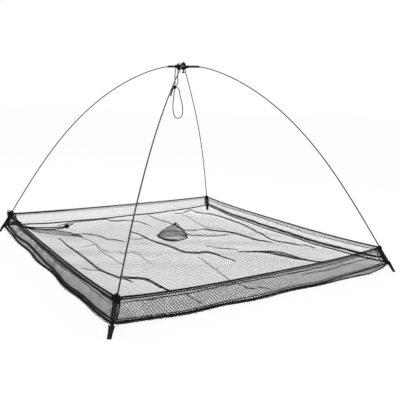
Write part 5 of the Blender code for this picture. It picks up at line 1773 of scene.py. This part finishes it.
    def seam(self) -> bpy.types.Object:
        """The laced rope that holds the mouth's bowed edge down."""
        skin, side = Skin(), np.linspace(-1, 1, 120)
        bow = self.seam_radius + GAP + self.seam_bow * (1 - side ** 2)
        line = self.place(-bow / self.length, side * self.half_width, self.seam_radius)
        skin.tube(line, self.seam_radius, 10, UP, Lay.TWISTED)
        lace = helix(evenly(line, 0.0008), self.seam_radius + self.lace_radius, 40, UP)
        skin.tube(lace, self.lace_radius, 4, UP)
        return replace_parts(skin.piece("pocket_seam_rope", ROPE), "pocket_seam_cord")

    def knot(self) -> bpy.types.Object:
        """The knot that ties off the gathered end, with the filaments that stand out of it."""
        skin, cord = Skin(), self.knot_cord
        centre = self.place(1.0, 0.0, self.knot_radius * self.knot_squash)
        for scale, angle in ((1.0, 0.0), (0.8, math.pi / 2)):
            turn = knot_line(centre, self.knot_radius * scale, self.knot_squash, cord, rolled(angle))
            skin.tube(turn, cord, 9, UP, Lay.BRAIDED, closed=True)
        skin.lump(centre, np.array((0.68, 0.68, 0.60)) * self.knot_radius)
        frayed(skin, centre, self.way, 0.016, 14, 0.0005, 7)
        frayed(skin, centre + UP * 0.003, unit(UP - self.way * 0.4), 0.007, 8, 0.0004, 8)
        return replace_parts(skin.piece("pocket_gather", ROPE), "pocket_knot")

    def build(self) -> list[bpy.types.Object]:
        """Makes the pocket's pieces."""
        cloth = self.cloth()
        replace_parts(cloth, "bait_pocket")
        return [swing(piece) for piece in (cloth, self.edging(), self.seam(), self.knot())]


@dataclass
class StorageTie:
    """The doubled cord by the left corner that ties the folded net together."""

    radius: float = 0.00125
    fuzz: float = 2.1                # how much wider its raised filaments make it
    knot_radius: float = 0.0050
    knot_squash: float = 0.80
    knot_place: tuple[float, float, float] = (-0.2760, 0.4440, 0.0162)
    out: tuple = ((-0.4780, 0.4750, 0.0350), (-0.4640, 0.4722, 0.0308), (-0.4480, 0.4690, 0.0268),
                  (-0.4300, 0.4658, 0.0234), (-0.4120, 0.4628, 0.0210), (-0.3920, 0.4600, 0.0186),
                  (-0.3720, 0.4578, 0.0168), (-0.3520, 0.4556, 0.0154), (-0.3320, 0.4534, 0.0144),
                  (-0.3120, 0.4508, 0.0140), (-0.2960, 0.4480, 0.0146))
    back: tuple = ((-0.4790, 0.4680, 0.0352), (-0.4640, 0.4620, 0.0302), (-0.4480, 0.4550, 0.0256),
                   (-0.4300, 0.4480, 0.0218), (-0.4120, 0.4420, 0.0190), (-0.3920, 0.4370, 0.0166),
                   (-0.3720, 0.4335, 0.0148), (-0.3520, 0.4315, 0.0136), (-0.3320, 0.4310, 0.0130),
                   (-0.3120, 0.4320, 0.0128), (-0.2940, 0.4350, 0.0132))
    tail: tuple = ((-0.2370, 0.4745, 0.0158), (-0.2460, 0.4670, 0.0162), (-0.2550, 0.4600, 0.0168),
                   (-0.2640, 0.4530, 0.0170))
    knot_turns: tuple = ((2.2, 0.0), (1.9, 0.9), (1.6, 2.2))     # each turn's size and how far it is rolled
    knot_cord: float = 1.4           # how much thicker the cord looks in its knot
    spacing: float = 0.0009

    def build(self) -> list[bpy.types.Object]:
        """Makes the tie's two strands, its knot and its free end."""
        centre, made = np.array(self.knot_place), []
        for name, node, route, starts_at_knot in (("tie_strand_out", "storage_tie", self.out, False),
                                                  ("tie_strand_back", "storage_tie_return", self.back, False),
                                                  ("tie_free_end", "storage_tie_tail", self.tail, True)):
            by_knot = centre + unit(np.array(route[-1]) - centre) * (self.knot_radius + END_GAP)
            line = evenly(smooth_route(np.vstack([route, by_knot]), 6), self.spacing)
            line = line[::-1] if starts_at_knot else line
            skin, ends = Skin(), []
            skin.tube(line, self.radius * self.fuzz, 9, UP, Lay.BRAIDED)
            if starts_at_knot:
                end = Skin()
                frayed(end, line[-1], unit(line[-1] - line[-4]), 0.005, 6, 0.0004, 5)
                ends = [pull(end.piece("tie_frayed_end", TWINE), Corner.LEFT)]
            piece = pull(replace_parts(skin.piece(name, TWINE), node), Corner.LEFT)
            made.append(piece)
            made += ends
        skin, cord = Skin(), self.radius * self.knot_cord
        for scale, angle in self.knot_turns:
            turn = knot_line(centre, self.knot_radius * scale, self.knot_squash, cord, rolled(angle))
            skin.tube(turn, cord, 9, UP, Lay.BRAIDED, closed=True)
        skin.lump(centre, np.array((1.75, 1.75, 1.30)) * self.knot_radius)
        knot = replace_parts(skin.piece("tie_knot_drawn", TWINE), "storage_tie_knot")
        return made + [pull(knot, Corner.LEFT)]


@dataclass(frozen=True)
class Studio:
    """The pale floor, the soft light and the camera at the photograph's angle."""

    azimuth: float = -30.35
    elevation: float = 8.097
    roll: float = 1.535
    place: tuple[float, float, float] = (-1.01060, -1.52894, 0.54862)
    lens: float = 44.66
    shift: tuple[float, float] = (0.1173, -0.0656)
    floor_radius: float = 30.0
    floor_below: float = 0.0003
    floor_colour: float = 0.93
    floor_glow: float = 1.012
    whitened: float = 0.92
    white: tuple[float, ...] = (1.0, 1.0, 1.0, 1.0)
    sky: float = 0.62
    aim: tuple[float, float, float] = (0.0, 0.0, 0.2)
    lamps: tuple = (("key", (-1.6, -1.8, 2.6), 1.8, 26.0), ("fill", (2.2, -1.0, 1.8), 2.0, 12.0),
                    ("rear", (0.6, 2.4, 2.2), 1.6, 14.0))        # each one's name, place, size and power

    def floor(self) -> bpy.types.Object:
        """The floor, which looks white where nothing shades it and keeps a faint shadow."""
        skin, turn = Skin(), circle(64)
        rings = np.array([ring(reach, turn, -self.floor_below) for reach in (0.02, self.floor_radius)])
        skin.loft(rings, capped=False)
        skin.add(rings[0], [np.arange(64)[None]])
        piece = linked("studio_floor", skin.mesh("studio_floor", 180))
        made, nodes, shader = new_material("studio floor")
        nodes.feed(shader, {"Base Color": (*[self.floor_colour] * 3, 1.0), "Roughness": 0.9})
        glow = nodes.add("Emission", {"Color": self.white, "Strength": self.floor_glow})
        mixed = nodes.add("MixShader", {0: nodes.maths("MULTIPLY", nodes.seen(), self.whitened),
                                        1: shader.outputs[0], 2: glow.outputs[0]})
        nodes.feed(made.node_tree.nodes["Material Output"], {"Surface": mixed.outputs[0]})
        piece.data.materials.append(made)
        return piece

    def light(self) -> None:
        """An even white surround, seen as white, and three broad soft lamps."""
        world = bpy.data.worlds.new("studio")
        bpy.context.scene.world = world
        world.use_nodes = True
        nodes = Nodes(world.node_tree)
        nodes.feed(world.node_tree.nodes["Background"],
                   {"Color": self.white, "Strength": nodes.ramp(nodes.seen(), 0.0, 1.0, self.sky)})
        for name, place, size, energy in self.lamps:
            lamp = bpy.data.lights.new(name, "AREA")
            lamp.size, lamp.energy = size, energy
            piece = linked(name, lamp)
            piece.location = place
            piece.rotation_euler = (Vector(self.aim) - Vector(place)).to_track_quat("-Z", "Y").to_euler()

    def camera(self) -> bpy.types.Object:
        """The camera, set as the photograph was taken."""
        azimuth, elevation, roll = (math.radians(a) for a in (self.azimuth, self.elevation, self.roll))
        back = Vector((math.sin(azimuth) * math.cos(elevation), -math.cos(azimuth) * math.cos(elevation),
                       math.sin(elevation)))
        right = (-back).cross(Vector((0, 0, 1))).normalized()
        up = right.cross(-back)
        across = right * math.cos(roll) + up * math.sin(roll)
        upright = up * math.cos(roll) - right * math.sin(roll)
        made = bpy.data.cameras.new("camera")
        made.sensor_width = 36.0
        made.lens = self.lens
        made.shift_x, made.shift_y = self.shift
        made.clip_start, made.clip_end = 0.01, 100.0
        piece = linked("camera", made)
        turn = Matrix((across, upright, back)).transposed().to_4x4()
        piece.matrix_world = Matrix.Translation(self.place) @ turn
        bpy.context.scene.camera = piece
        return piece


def main() -> None:
    """Builds and dresses the lift net."""
    logging.basicConfig(level=logging.INFO, format="%(message)s")
    bpy.context.scene.view_settings.view_transform = "Standard"
    studio = Studio()
    studio.camera()
    shape = TrayShape()
    rods = RodShape(shape)
    hub = Hub(rods)
    parts = [LiftingCord(hub), StorageTie(), hub, Netting(shape), SideCords(shape), BaitPocket()]
    for part in parts + [CornerFittings(corner, rods) for corner in Corner]:
        for piece in part.build():
            LOG.info("%s: %s, %d faces", type(part).__name__, piece.name, len(piece.data.polygons))
    studio.floor()
    studio.light()


if __name__ == "__main__":
    main()
